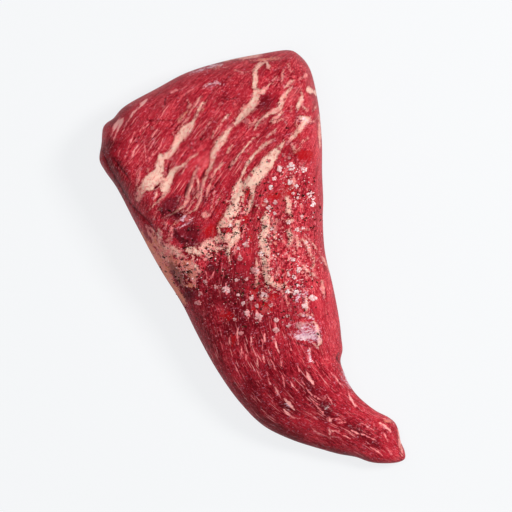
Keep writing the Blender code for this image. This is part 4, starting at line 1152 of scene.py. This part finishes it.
beefLook = {
    "deep": tint(112, 4, 20),
    "lean": tint(182, 36, 52),
    "bright": tint(214, 68, 80),
    "coral": tint(238, 112, 116),
    # Maroon: darker meat, and painted shade where the tone is low and in the creases.
    "maroonShade": tint(72, 3, 14),
    "streak": tint(236, 118, 124),
    "core": tint(246, 174, 168),
    # Pale dots: specks of fat and salt, and painted glints.
    "speckAndGlint": tint(240, 140, 138),
    "cream": tint(243, 205, 187),
    "beige": tint(220, 168, 150),
    "stain": tint(150, 62, 52),
    "pink": tint(242, 164, 152),
    "blush": tint(230, 120, 124),
    "brown": tint(230, 134, 110),
    "blood": tint(182, 6, 16),
    # Painted shade in the hollows.
    "paintedShade": tint(62, 12, 26),
    # The silvery membrane, painted as a highlight: bright, then lilac.
    "silverSheen": tint(250, 226, 230),
    "lilac": tint(228, 160, 188),
    # How strongly each layer covers what is under it.
    "cover": {
        "maroonShade": 0.8, "slits": 0.8, "cuts": 0.75, "hairs": 0.9, "hair cores": 0.8, "dots": 0.9, "pits": 0.7,
        "blood": 0.8, "paintedShade": 0.66, "strand shadows": 0.45, "flecks": 0.85, "stains": 0.8, "painted shade on fat": 0.6,
        "creases": 0.85, "filmAndSheen": 0.85, "sheenHaze": 0.7,
    },
    # Noises along the fibres, then the same both ways: scale for each mm, detail, roughness.
    "along": {
        "broad": ((0.14, 0.03, 0.1), 2.0, 0.55),        # big bundles
        "bands": ((0.42, 0.06, 0.1), 3.0, 0.65),        # muscle strands
        "fibres": ((1.3, 0.16, 0.1), 3.0, 0.7),         # single fibres
        "threads": ((1.9, 0.35, 0.1), 1.0, 0.6),
    },
    "even": {
        "mottle": ((0.13,), 3.0, 0.65), "lumps": ((0.45,), 3.0, 0.7),
        "grit": ((1.1,), 1.0, 0.6), "dust": ((2.2,), 1.0, 0.6),
    },
    # How the fibres sway, slowly and then quickly: scale for each mm, reach in mm.
    "sways": (((0.1, 0.05, 0.1), (3.0, 8.0, 0.0)), ((0.35, 0.2, 0.1), (0.9, 2.0, 0.0))),
    # Dashes along the fibres: cells for each mm across and along, size, share of the cells that have one.
    "dashes": {
        "slits": (0.42, 0.045, 0.3, 0.35), "cuts": (0.8, 0.1, 0.32, 0.3), "long": (0.42, 0.032, 0.22, 0.5),
        "short": (0.6634, 0.0638, 0.26, 0.45), "thin": (1.023, 0.12, 0.27, 0.4),
    },
    # What is summed from the noises, with the weight of each: tones, and the unevenness of edges.
    "sums": {
        "lean": {"bands": 1.5, "fibres": 1.9, "threads": 2.4, "grit": 0.5, "dust": 1.5},
        "lean slow": {"mottle": 0.8, "broad": 0.8},
        "blood": {"mottle": 1.4, "lumps": 1.6, "crumb": 0.35},
        "paintedShade": {"fibres": 1.6, "lumps": 1.4},
        "strand shadows": {"fibres": 4.0, "lumps": 3.0},
        "flecks": {"fibres": 1.8, "lumps": 3.0, "threads": 1.5},
        "fat edge": {"fibres": 6.5, "bands": 2.0, "dust": 3.0, "lumps": 2.6, "grit": 3.0},
        "fat shade": {"grain": 0.5, "fibres": 2.0, "lumps": 2.2, "dust": 1.4},
        "beige": {"mottle": 2.0, "lumps": 1.6},
        "brown": {"lumps": 1.5, "mottle": 1.2},
        "creases": {"grit": 2.0},
        "filmAndSheen": {"wisps": 9.0, "dust": 4.0, "grain": 1.6},
        "sheenHaze": {"wisps": 2.4, "grain": 0.6},
        "glow": {"wisps": 3.0, "threads": 1.5},
        "roughness": {"mottle": 0.3, "dust": 0.5},
        "relief": {"fibres": 0.5, "bands": 0.6, "grit": 0.3, "dust": 0.12, "grain": 0.12},       # mm
    },
}


def beefMaterial():
    look, cover = beefLook, beefLook["cover"]
    material, shade, shader = newMaterial("wetBeef", {
        "Subsurface Weight": 0.08,
        "Subsurface Radius": (1.0, 0.35, 0.25),
        "Subsurface Scale": 0.0012,
        "IOR": 1.22,
        "Specular IOR Level": 0.15,
        "Coat Roughness": 0.15,
    })
    tone, streaks, specks, blood, paintedShade, membraneSheen, calm, crumbs = map(
        shade.attribute, ("tone", "streaks", "specks", "blood", "paintedShade", "membraneSheen", "calm", "crumbs"))
    fatIn, fatTone, fleckIn, fleckTone, creaseIn, strandShadowIn, silverSheenIn = map(
        shade.attribute, ("fat", "fatTone", "fleck", "fleckTone", "crease", "strandShadow", "silverSheen"))

    # The noises, all from about -0.5 to 0.5.
    place, flow = shade.place(), shade.attribute("flow", "Vector")
    for scale, reach in look["sways"]:
        flow = flow.swayed(scale, reach)
    grainPlace = place.swayed((1.2,), (0.5,)).scaled(0.95)
    crumb = place.swayed((0.8,), (0.9,)).scaled(0.52).cellValue() - 0.5
    grain = grainPlace.cellValue() - 0.5
    wisps = place.swayed((0.3,), (1.5,)).scaled(0.35, 1.3, 0.5).noise(3.0, 0.7) - 0.5
    noises = {"crumb": crumb, "grain": grain, "wisps": wisps}
    for kind, space in (("along", flow), ("even", place)):
        for name, (scale, detail, roughness) in look[kind].items():
            noises[name] = space.scaled(*scale).noise(detail, roughness) - 0.5

    def summed(name):
        parts = [noises[part] * weight for part, weight in look["sums"][name].items()]
        return sum(parts[1:], parts[0])

    # Lean: light and dark by fibres, with dark cuts and pale hairs along them, pale dots that are partly
    # painted glints, and dark pits.
    rest = 1 - calm * 0.75
    level = (summed("lean") + grain * (specks * 0.65 + 0.06) + crumb * crumbs * 0.5) * rest
    # Tone lightens and darkens the lean: the meat's own patches, with painted shade and painted highlights
    # among them.
    level = level + summed("lean slow") + tone * 0.5
    colour = level.step(-0.75, 0.0).mix(look["deep"], look["lean"])
    colour = level.step(0.0, 0.55).mix(colour, look["bright"])
    colour = level.step(0.35, 1.0).mix(colour, look["coral"])
    # Where the tone is low: darker meat, and painted shade on the flanks and rims.
    colour = ((tone * -1.0).step(0.2, 1.0) * cover["maroonShade"]).mix(colour, look["maroonShade"])
    slits, cuts, long, short, thin = (flow.dashes(*rule) for rule in look["dashes"].values())
    slitMask, cutMask = slits.step(-0.01, 0.07) * cover["slits"], cuts.step(-0.01, 0.07) * cover["cuts"]
    cutMask = slitMask.larger(cutMask) * (0.6 + streaks * 0.35) * rest
    colour = cutMask.mix(colour, look["deep"])
    hairIn = long.larger(short)
    amount = (streaks * 0.85 + 0.12).clipped() * rest
    thinMask = thin.step(-0.01, 0.05) * (streaks * 0.65 + 0.25).clipped() * rest
    hairMask = (hairIn.step(-0.01, 0.05) * amount).larger(thinMask)
    colour = (hairMask * cover["hairs"]).mix(colour, look["streak"])
    colour = (hairIn.step(0.05, 0.15) * amount * cover["hair cores"]).mix(colour, look["core"])
    # Pale dots, partly specks of fat and salt and partly painted glints.
    dotIn = 0.3 - grainPlace.cells("Distance") + (grain - 0.4) * 1.2
    dotAndGlintMask = dotIn.step(0.0, 0.12) * (specks + 0.1).clipped() * rest
    colour = (dotAndGlintMask * cover["dots"]).mix(colour, look["speckAndGlint"])
    pitMask = (grain * -5.0 - 1.3).step(0.0, 0.6) * (specks * 0.8 + crumbs * 0.3 + 0.06).clipped()
    colour = (pitMask * cover["pits"]).mix(colour, look["deep"])

    # Blood, painted shade in the dent and hollows, painted shadow beside strands of fat, and thin flecks of
    # fat.
    bloodMask = (blood + summed("blood")).step(0.3, 0.6)
    colour = (bloodMask * cover["blood"]).mix(colour, look["blood"])
    paintedShadeMask = (paintedShade + summed("paintedShade")).step(0.1, 1.0)
    colour = (paintedShadeMask * cover["paintedShade"]).mix(colour, look["paintedShade"])
    # Painted shadow beside the strands of fat, on the side away from the key light.
    strandShadowMask = (strandShadowIn + summed("strand shadows")).step(-0.3, 1.2)
    colour = (strandShadowMask * cover["strand shadows"]).mix(colour, look["deep"])
    fleckIn = fleckIn + summed("flecks")
    colour = (fleckIn.step(-0.2, 0.6) * cover["flecks"]).mix(colour, look["streak"])
    colour = (fleckIn - fleckTone * 1.2).step(-0.1, 0.8).mix(colour, look["core"])

    # Fat: whole where it lies thick, broken into crumbs where it was rubbed and salted.
    deepIn = fatIn.smaller(4.5 - crumbs * 3.2)
    broken = crumb * crumbs * 4.4 + grain * (crumbs * 3.4 + 1.0)
    strandMask = (deepIn + summed("fat edge") + broken).step(-0.3, 0.8)
    crumbMask = (crumb + grain * 0.35 + crumbs * 0.5).step(0.58, 0.66) * (crumbs * 4.0).clipped()
    fatMask = strandMask.larger(crumbMask) * (1 - bloodMask * 0.75)
    fatShade = summed("fat shade") + fatTone - deepIn * 0.04 + (1.0 - deepIn).clipped() * 0.15
    fatColour = fatShade.step(-0.25, 0.35).mix(look["cream"], look["pink"])
    fatColour = fatShade.step(0.2, 0.75).mix(fatColour, look["blush"])
    fatColour = summed("beige").step(0.05, 0.65).mix(fatColour, look["beige"])
    fatColour = (fatTone + summed("brown")).step(0.55, 1.0).mix(fatColour, look["brown"])
    stainIn = grain * -6.0 - 1.8 + noises["lumps"]
    stainMask = stainIn.step(0.0, 0.5) * (crumbs * 1.1 + fatTone * 0.3).clipped()
    fatColour = (stainMask * cover["stains"]).mix(fatColour, look["stain"])
    # The painted shade of the hollows falls on the fat too.
    fatColour = (paintedShadeMask * cover["painted shade on fat"]).mix(fatColour, look["paintedShade"])
    colour = fatMask.mix(colour, fatColour)

    # Painted shade in the creases, then the silvery membrane over everything, painted lighter as a highlight
    # where it catches the light.
    creaseShadeMask = (creaseIn + summed("creases")).step(-0.8, 1.0) * (1 - fatMask * 0.45)
    colour = (creaseShadeMask * cover["creases"]).mix(colour, look["maroonShade"])
    filmAndSheen = (silverSheenIn + summed("filmAndSheen")).step(-0.6, 1.4) * cover["filmAndSheen"]
    sheenHaze = (membraneSheen + summed("sheenHaze")).step(0.25, 0.95) * cover["sheenHaze"]
    silverSheenMask = filmAndSheen.larger(sheenHaze)
    glow = (silverSheenIn * 0.12 + summed("glow")).step(-0.3, 0.7)
    colour = silverSheenMask.mix(colour, glow.mix(look["lilac"], look["silverSheen"]))

    rough = 0.42 + summed("roughness") + fatMask * 0.06 - bloodMask * 0.2 - silverSheenMask * 0.12
    coat = (bloodMask * 0.4 + noises["lumps"] * 1.5 + silverSheenMask * 0.3).clipped() * shade.attribute("upright")
    relief = summed("relief") + fatMask * 0.2 + hairMask * 0.15 - cutMask * 0.2 - creaseShadeMask * 0.3
    normal = relief.bumped(0.9)
    linkTo(shader, {"Base Color": colour, "Roughness": rough, "Coat Weight": coat, "Normal": normal})
    return material


# Salt and pepper. The largest grains lie where the CAD solid has them: some at places of their own, the
# others drawn round patches in the solid's order. Each place is in mm, with its size or the patch's widths
# and share. The finer grains are scattered round patches that the photo shows.
salt = {
    "large": (
        (38.8, 58.7, 5.0), (31.9, 59.9, 4.3), (45.6, 54.3, 3.7), (26.6, 55.4, 3.1), (22.6, 51.0, 3.1),
        (34.6, 50.0, 3.7), (43.4, 38.6, 3.7), (43.6, 32.8, 4.3), (25.8, 26.9, 2.5), (34.6, 27.6, 2.5),
        (17.2, 44.4, 2.8), (-31.6, 50.3, 5.0), (-3.4, 23.8, 4.3), (-9.8, 17.0, 3.7), (-24.5, 1.4, 5.0),
        (-3.9, 6.3, 5.0), (-11.2, -8.6, 3.7), (-17.6, -10.0, 3.1), (21.2, -2.1, 4.0), (23.7, -21.5, 5.0),
        (-43.6, -0.7, 4.3), (10.8, -12.7, 3.1), (20.2, 5.1, 3.1), (-3.7, -9.4, 4.3), (15.0, -14.8, 4.0),
        (17.6, -24.4, 4.3), (10.2, -34.1, 5.0), (-4.1, -32.1, 4.3), (-11.6, -21.2, 5.0), (-17.4, -16.4, 3.7),
        (-34.9, 10.4, 2.8), (-50.8, 47.5, 3.4), (5.7, -26.5, 2.8), (7.5, -95.1, 2.8),
    ),
    # The first of these lie clean and white on the meat, as in the photo. The others soaked up its colour
    # wherever no fine grains lie round them.
    "clean": 8, "count": 46, "seed": 11, "size": (3.4, 2.0), "thickness": 0.5, "sides": 5,
    # More flakes that the photo shows: seen place, size in mm.
    "seen": (
        (187, 263, 1.8), (192, 278, 1.8), (183, 274, 1.3), (165, 254, 1.5), (205, 281, 1.8), (206, 284, 1.6),
        (164, 214, 1.2), (193, 229, 0.9), (179, 219, 1.2), (215, 258, 1.6), (228, 277, 0.9), (249, 209, 1.0),
    ),
    "cluster from": 1.9, "chips": 15, "cluster spread": 0.4, "chip size": (0.28, 0.6), "tilt": 0.35,
    "patches": (
        ((25.0, 55.0), (13.0, 16.0), 5), ((18.0, -2.0), (14.0, 24.0), 7), ((-14.0, -6.0), (14.0, 18.0), 4),
        ((-37.0, 60.0), (18.0, 26.0), 2), ((8.0, -60.0), (14.0, 22.0), 1), ((20.0, 100.0), (22.0, 14.0), 1),
    ),
    "fine count": 460, "fine seed": 41, "fine size": (1.5, 0.5),
    # Where the fine grains fell: seen place, spread, share.
    "fine patches": (
        ((304, 192), (11, 12), 4), ((290, 240), (16, 24), 4), ((298, 292), (12, 14), 8),
        ((305, 260), (10, 16), 4), ((268, 245), (8, 30), 4), ((236, 225), (10, 22), 3),
        ((215, 252), (14, 9), 3), ((188, 272), (10, 12), 5), ((235, 300), (26, 20), 2),
        ((255, 290), (20, 16), 2), ((170, 238), (12, 10), 1), ((270, 320), (24, 14), 2),
        ((232, 276), (20, 14), 2), ((291, 173), (9, 8), 4), ((280, 170), (3, 4), 2), ((298, 167), (3, 3), 2),
        ((313, 199), (3, 4), 2),
    ),
}
pepper = {
    "clean": 0, "count": 34, "seed": 23, "size": (2.4, 1.6), "thickness": 0.75, "sides": 4,
    # More bits that the photo shows: seen place, size in mm.
    "seen": (
        (296, 283, 2.6), (286, 291, 2.3), (287, 315, 2.3), (290, 319, 1.6), (292, 215, 1.8), (306, 218, 2.0),
        (313, 226, 1.6), (317, 282, 1.6), (270, 340, 2.2), (244, 326, 2.8), (281, 312, 1.4), (242, 294, 2.6),
        (230, 301, 1.8), (230, 289, 1.8), (252, 266, 1.8), (258, 267, 1.8), (291, 297, 1.8), (217, 270, 1.8),
        (226, 275, 1.8), (165, 271, 1.6), (281, 174, 1.8), (309, 190, 1.8), (263, 225, 1.6), (267, 212, 1.6),
        (327, 314, 1.3), (239, 291, 1.6), (292, 260, 1.8), (291, 264, 1.5),
    ),
    "cluster from": 1.5, "chips": 4, "cluster spread": 0.4, "chip size": (0.35, 0.7), "tilt": 0.3,
    "patches": (
        ((14.0, 40.0), (14.0, 24.0), 5), ((4.0, -8.0), (18.0, 18.0), 4), ((-36.0, 22.0), (9.0, 14.0), 2),
    ),
    "fine count": 860, "fine seed": 57, "fine size": (1.9, 0.6),
    "fine patches": (
        ((262, 175), (8, 10), 2), ((240, 205), (9, 14), 5), ((234, 232), (10, 10), 4),
        ((216, 248), (12, 7), 5), ((265, 245), (6, 26), 9), ((186, 274), (8, 10), 4),
        ((288, 215), (14, 16), 3), ((297, 294), (12, 10), 5), ((245, 292), (12, 8), 4),
        ((305, 225), (10, 20), 2), ((225, 270), (20, 12), 2), ((280, 300), (20, 16), 2),
        ((160, 250), (8, 12), 1), ((300, 195), (10, 10), 2), ((235, 278), (20, 14), 3),
    ),
}
# What holds for both kinds. Measures in mm; shares are of a grain's own size.
topping = {
    "edge margin": 9.0,             # how far in from the meat's edge the CAD solid's grains lie
    "steepest": 0.75,               # the least that the meat's normal may point up under them
    "reach share": 0.55, "gap": 0.7,            # what two of them keep apart
    "sink": 0.28, "top share": 0.72,            # how deep a grain sits in the meat, and how wide its top is
    "narrow": (0.5, 1.0), "uneven turn": 0.3, "uneven reach": (0.7, 1.1), "uneven height": (0.7, 1.0),
    "small share": 2.2,             # the higher, the more of the fine grains are small
    "seen height": 48.0,            # where the fine grains' seen places are taken to lie
    # Where the meat counts as salted: a fine patch's reach, the share that is full, how sharply it ends.
    "salted": (1.8, 4, 1.2),
    "chip seeds": 1000,             # each grain's own seed is its kind's times this, plus its number
    # The rows and columns of the CAD solid's upper face, and how many of them round over at each end.
    "rows": (76, 7), "columns": (34, 9), "most rounding": 0.47,
    "highest": 54.6,                # keeps the grains inside the solid's own box
}


def spaced(count, easeCount, easeStart, easeEnd):
    # Shares from 0 to 1, closer together at both ends.
    turn = 1 - np.cos(np.linspace(0, math.pi / 2, easeCount + 1))
    middle = np.linspace(easeStart, 1 - easeEnd, count - 2 * easeCount + 1)
    return np.concatenate([turn[:-1] * easeStart, middle, 1 - (turn * easeEnd)[:-1][::-1]])


# The CAD solid's own rows and columns.
def solidRows(length):
    return spaced(*topping["rows"], form["tail rounding"] / length, form["broad rounding"] / length)


def solidColumns(share, width):
    ends = [min(rounding / width, topping["most rounding"]) for rounding in columnRounding(share)]
    return spaced(*topping["columns"], *ends)


def solidSurface():
    # The CAD solid's bare upper face, on which its own grains were placed.
    face = upperFace(solidRows, solidColumns)
    x, y = face["x"], face["y"]
    z = face["waist"] + (face["crown"] - face["waist"] + mainRelief(x, y)) * face["fullness"]
    rows, columns = face["shape"]
    grid = np.arange(rows * columns).reshape(rows, columns)
    quads = np.stack([grid[:-1, :-1], grid[:-1, 1:], grid[1:, 1:], grid[1:, :-1]], axis=-1).reshape(-1, 4)
    return BVHTree.FromPolygons((np.stack([x, y, z], axis=-1) * mm).tolist(), quads.tolist())


def under(surface, x, y):
    # The surface's place and normal, looked for from 1 m straight above.
    return surface.ray_cast(Vector((x * mm, y * mm, 1.0)), Vector((0, 0, -1)))[:2]


def drawnPlaces(kind, surface, taken):
    # Places and sizes of the CAD solid's own grains, drawn in its order.
    rng = random.Random(kind["seed"])
    choices = [patch for patch in kind["patches"] for _ in range(patch[2])]
    largest, smallest = kind["size"]
    margin, share = topping["edge margin"], topping["reach share"]
    around = ((margin, 0), (-margin, 0), (0, margin), (0, -margin))
    found = []
    while len(found) < kind["count"]:
        size = largest + (smallest - largest) * len(found) / kind["count"]
        at, width, _ = rng.choice(choices)
        x, y = rng.gauss(at[0], width[0]), rng.gauss(at[1], width[1])
        if any(math.hypot(x - a, y - b) < share * (size + other) + topping["gap"] for a, b, other in taken):
            continue
        if any(under(surface, x + dx, y + dy)[0] is None for dx, dy in around):
            continue
        place, normal = under(surface, x, y)
        if place is None or normal.z < topping["steepest"]:
            continue
        taken.append((x, y, size))
        found.append((x, y, size))
    return found


def below(seenX, seenY):
    # The place in mm that is seen there.
    roll = math.radians(photo["roll"])
    away = photo["height"] - topping["seen height"]
    scale = photo["pixel"] * away / (photo["height"] - photo["waist"])
    right, up = (seenX - photo["middle"]) * scale, (photo["middle"] - seenY) * scale
    x = photo["over"][0] + right * math.cos(roll) - up * math.sin(roll)
    return x, photo["over"][1] + right * math.sin(roll) + up * math.cos(roll)


def finePlaces(kind):
    # The bits that are placed one by one, then fine grains scattered round the seen places.
    rng = random.Random(kind["fine seed"])
    choices = [patch for patch in kind["fine patches"] for _ in range(patch[2])]
    largest, smallest = kind["fine size"]
    found = [(*below(seenX, seenY), size) for seenX, seenY, size in kind["seen"]]
    for _ in range(kind["fine count"]):
        at, width, _ = rng.choice(choices)
        place = below(rng.gauss(at[0], width[0]), rng.gauss(at[1], width[1]))
        found.append((*place, smallest + (largest - smallest) * rng.random() ** topping["small share"]))
    return found


def grainCorners(rng, kind, size):
    # The corners of one grain: an uneven ring low down and a smaller one on top.
    narrow, turn = rng.uniform(*topping["narrow"]), rng.uniform(0, 2 * math.pi)
    uneven = topping["uneven turn"]
    corners = []
    for level, spread in ((-topping["sink"], 1.0), (1 - topping["sink"], topping["top share"])):
        for k in range(kind["sides"]):
            angle = turn + 2 * math.pi * (k + rng.uniform(-uneven, uneven)) / kind["sides"]
            reach = 0.5 * size * spread * rng.uniform(*topping["uneven reach"])
            height = level * size * kind["thickness"] * rng.uniform(*topping["uneven height"])
            corners.append((reach * math.cos(angle), narrow * reach * math.sin(angle), height))
    return corners


def saltedAt(kind, place):
    # From 0 to 1, how much of the kind the photo shows round a place.
    reach, full, sharpness = topping["salted"]
    seen = seenFrom(*(place / mm))
    return smooth(sharpness * max(
        min(share / full, 1) * bump(*seen, at, (reach * width[0], reach * width[1]), 0)
        for at, width, share in kind["fine patches"]
    ))


def buildGrains(name, kind, spots, surface):
    # All grains of a kind as one mesh, each a closed chip that leans with the meat under it.
    # A large one is a cluster of chips, as coarse salt and cracked pepper are.
    points, faces, shades, soaked = [], [], [], []
    sides = kind["sides"]
    for index, (x, y, size) in enumerate(spots):
        rng = random.Random(kind["seed"] * topping["chip seeds"] + index)
        chips = kind["chips"] if size > kind["cluster from"] else 1
        for _ in range(chips):
            away = size * kind["cluster spread"] * math.sqrt(rng.random()) if chips > 1 else 0.0
            angle = rng.uniform(0, 2 * math.pi)
            place, normal = under(surface, x + away * math.cos(angle), y + away * math.sin(angle))
            if place is None:
                continue
            chip = size * (rng.uniform(*kind["chip size"]) if chips > 1 else 1.0)
            tip = Vector((rng.gauss(0, 1), rng.gauss(0, 1), 0)) * kind["tilt"]
            lean = Vector((0, 0, 1)).rotation_difference(normal + tip).to_matrix()
            start = len(points)
            points += [place + lean @ (Vector(corner) * mm) for corner in grainCorners(rng, kind, chip)]
            faces.append([start + k for k in range(sides)][::-1])
            faces.append([start + sides + k for k in range(sides)])
            for k in range(sides):
                after = (k + 1) % sides
                faces.append([start + k, start + after, start + sides + after, start + sides + k])
            shades += [rng.random()] * (2 * sides)
            soaked += [0.0 if index < kind["clean"] else 1 - saltedAt(kind, place)] * (2 * sides)
    for point in points:
        point.z = min(point.z, topping["highest"] * mm)
    mesh = bpy.data.meshes.new(name)
    mesh.from_pydata(points, [], faces)
    setAttribute(mesh, "shade", np.array(shades))
    setAttribute(mesh, "soaked", np.array(soaked))
    grains = bpy.data.objects.new(name, mesh)
    bpy.context.scene.collection.objects.link(grains)
    print(name + ":", len(points) // (2 * sides), "chips")
    return grains


saltLook = {
    "clear": tint(240, 200, 200),
    "white": tint(252, 244, 246),
    "stained": tint(226, 140, 138),
    "soaked": tint(188, 60, 70),
}
pepperLook = {"black": tint(22, 12, 10), "brown": tint(74, 36, 26), "husk": tint(146, 104, 76)}


def saltMaterial():
    material, shade, shader = newMaterial("coarseSalt", {
        "Subsurface Weight": 0.3,
        "Subsurface Radius": (1.0, 0.8, 0.8),
        "Subsurface Scale": 0.0003,
        "Specular IOR Level": 0.25,
    })
    own = shade.attribute("shade")
    cloud = shade.place().scaled(0.9).noise(2.0, 0.6)
    colour = (cloud + own * 0.5).step(0.7, 1.05).mix(saltLook["clear"], saltLook["white"])
    colour = (cloud * -1.0 + own * -0.4 + 0.75).step(0.2, 0.5).mix(colour, saltLook["stained"])
    colour = (shade.attribute("soaked") * 0.92).mix(colour, saltLook["soaked"])
    linkTo(shader, {"Base Color": colour, "Roughness": 0.22 + cloud * 0.3})
    return material


def pepperMaterial():
    material, shade, shader = newMaterial("groundPepper", {"Specular IOR Level": 0.06})
    own = shade.attribute("shade")
    pits = shade.place().scaled(2.2).noise(3.0, 0.6)
    colour = (pits + own * 0.35).step(0.55, 0.85).mix(pepperLook["black"], pepperLook["brown"])
    colour = (own + pits * 0.3).step(1.0, 1.15).mix(colour, pepperLook["husk"])
    linkTo(shader, {"Base Color": colour, "Roughness": 0.5 + pits * 0.4, "Normal": (pits * 0.2).bumped(0.6)})
    return material


def finishPiece(piece, material):
    piece.data.materials.clear()
    piece.data.materials.append(material)
    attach(piece, "root")
    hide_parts("tri_tip")


meat = buildMeat()
meatSurface = BVHTree.FromPolygons(
    [v.co.copy() for v in meat.data.vertices], [list(p.vertices) for p in meat.data.polygons]
)
finishPiece(meat, beefMaterial())
print("meat dressed")

solid = solidSurface()
taken = list(salt["large"])
saltSpots = taken[:] + drawnPlaces(salt, solid, taken)
pepperSpots = drawnPlaces(pepper, solid, taken)
saltSpots += finePlaces(salt)
pepperSpots += finePlaces(pepper)
finishPiece(buildGrains("salt", salt, saltSpots, meatSurface), saltMaterial())
finishPiece(buildGrains("pepper", pepper, pepperSpots, meatSurface), pepperMaterial())
print("salt and pepper scattered")

studio = {
    "floor size": 14.0,
    "floor drop": 0.0004,         # below the meat's base
    "floor colour": tint(243, 245, 247),
    "floor albedo": 0.12,
    "floor glow": 0.88,
    "world colour": (1.0, 0.95, 0.94, 1.0),
    "world strength": 0.2,
    # Soft lights: turn from the photo's right, elevation, distance, size, power, colour.
    "lights": (
        ("key", 20.0, 50.0, 1.5, 0.4, 20.0, (1.0, 0.985, 0.97)),
        ("top", 200.0, 80.0, 1.5, 0.8, 5.5, (1.0, 0.985, 0.975)),
        ("rim", 120.0, 40.0, 1.6, 1.0, 2.5, (0.94, 0.96, 1.0)),
    ),
    "sensor": 36.0,
    "clip": (0.1, 50.0),
}


def layFloor():
    bpy.ops.object.select_all(action="DESELECT")
    bpy.ops.mesh.primitive_plane_add(size=studio["floor size"], location=(0, 0, -studio["floor drop"]))
    floor = bpy.context.object
    floor.name = "floor"
    floor.data.materials.append(newMaterial("paleFloor", {
        "Base Color": (studio["floor albedo"],) * 3 + (1.0,),
        "Roughness": 0.9,
        "Specular IOR Level": 0.1,
        "Emission Color": studio["floor colour"],
        "Emission Strength": studio["floor glow"],
    })[0])


def setLights():
    world = bpy.data.worlds.new("studio")
    world.use_nodes = True
    sky = world.node_tree.nodes["Background"]
    sky.inputs["Color"].default_value = studio["world colour"]
    sky.inputs["Strength"].default_value = studio["world strength"]
    bpy.context.scene.world = world

    target = Vector((*photo["over"], photo["waist"])) * mm
    for name, turn, elevation, distance, size, power, colour in studio["lights"]:
        angle, rise = math.radians(turn + photo["roll"]), math.radians(elevation)
        away = Vector((math.cos(angle) * math.cos(rise), math.sin(angle) * math.cos(rise), math.sin(rise)))
        lamp = bpy.data.lights.new(name, "AREA")
        lamp.size = size
        lamp.energy = power
        lamp.color = colour
        light = bpy.data.objects.new(name, lamp)
        light.location = target + away * distance
        light.rotation_euler = (-away).to_track_quat("-Z", "Y").to_euler()
        bpy.context.scene.collection.objects.link(light)


def setCamera():
    # Straight above, so that a pixel at the height of the waist is as large as in the photo.
    lens = bpy.data.cameras.new("camera")
    lens.sensor_width = studio["sensor"]
    lens.lens = studio["sensor"] * (photo["height"] - photo["waist"]) / (photo["side"] * photo["pixel"])
    lens.clip_start, lens.clip_end = studio["clip"]
    camera = bpy.data.objects.new("camera", lens)
    camera.location = Vector((*photo["over"], photo["height"])) * mm
    camera.rotation_euler = (0, 0, math.radians(photo["roll"]))
    bpy.context.scene.collection.objects.link(camera)
    bpy.context.scene.camera = camera
    bpy.context.scene.view_settings.view_transform = "Standard"


layFloor()
setLights()
setCamera()
print("stage set")
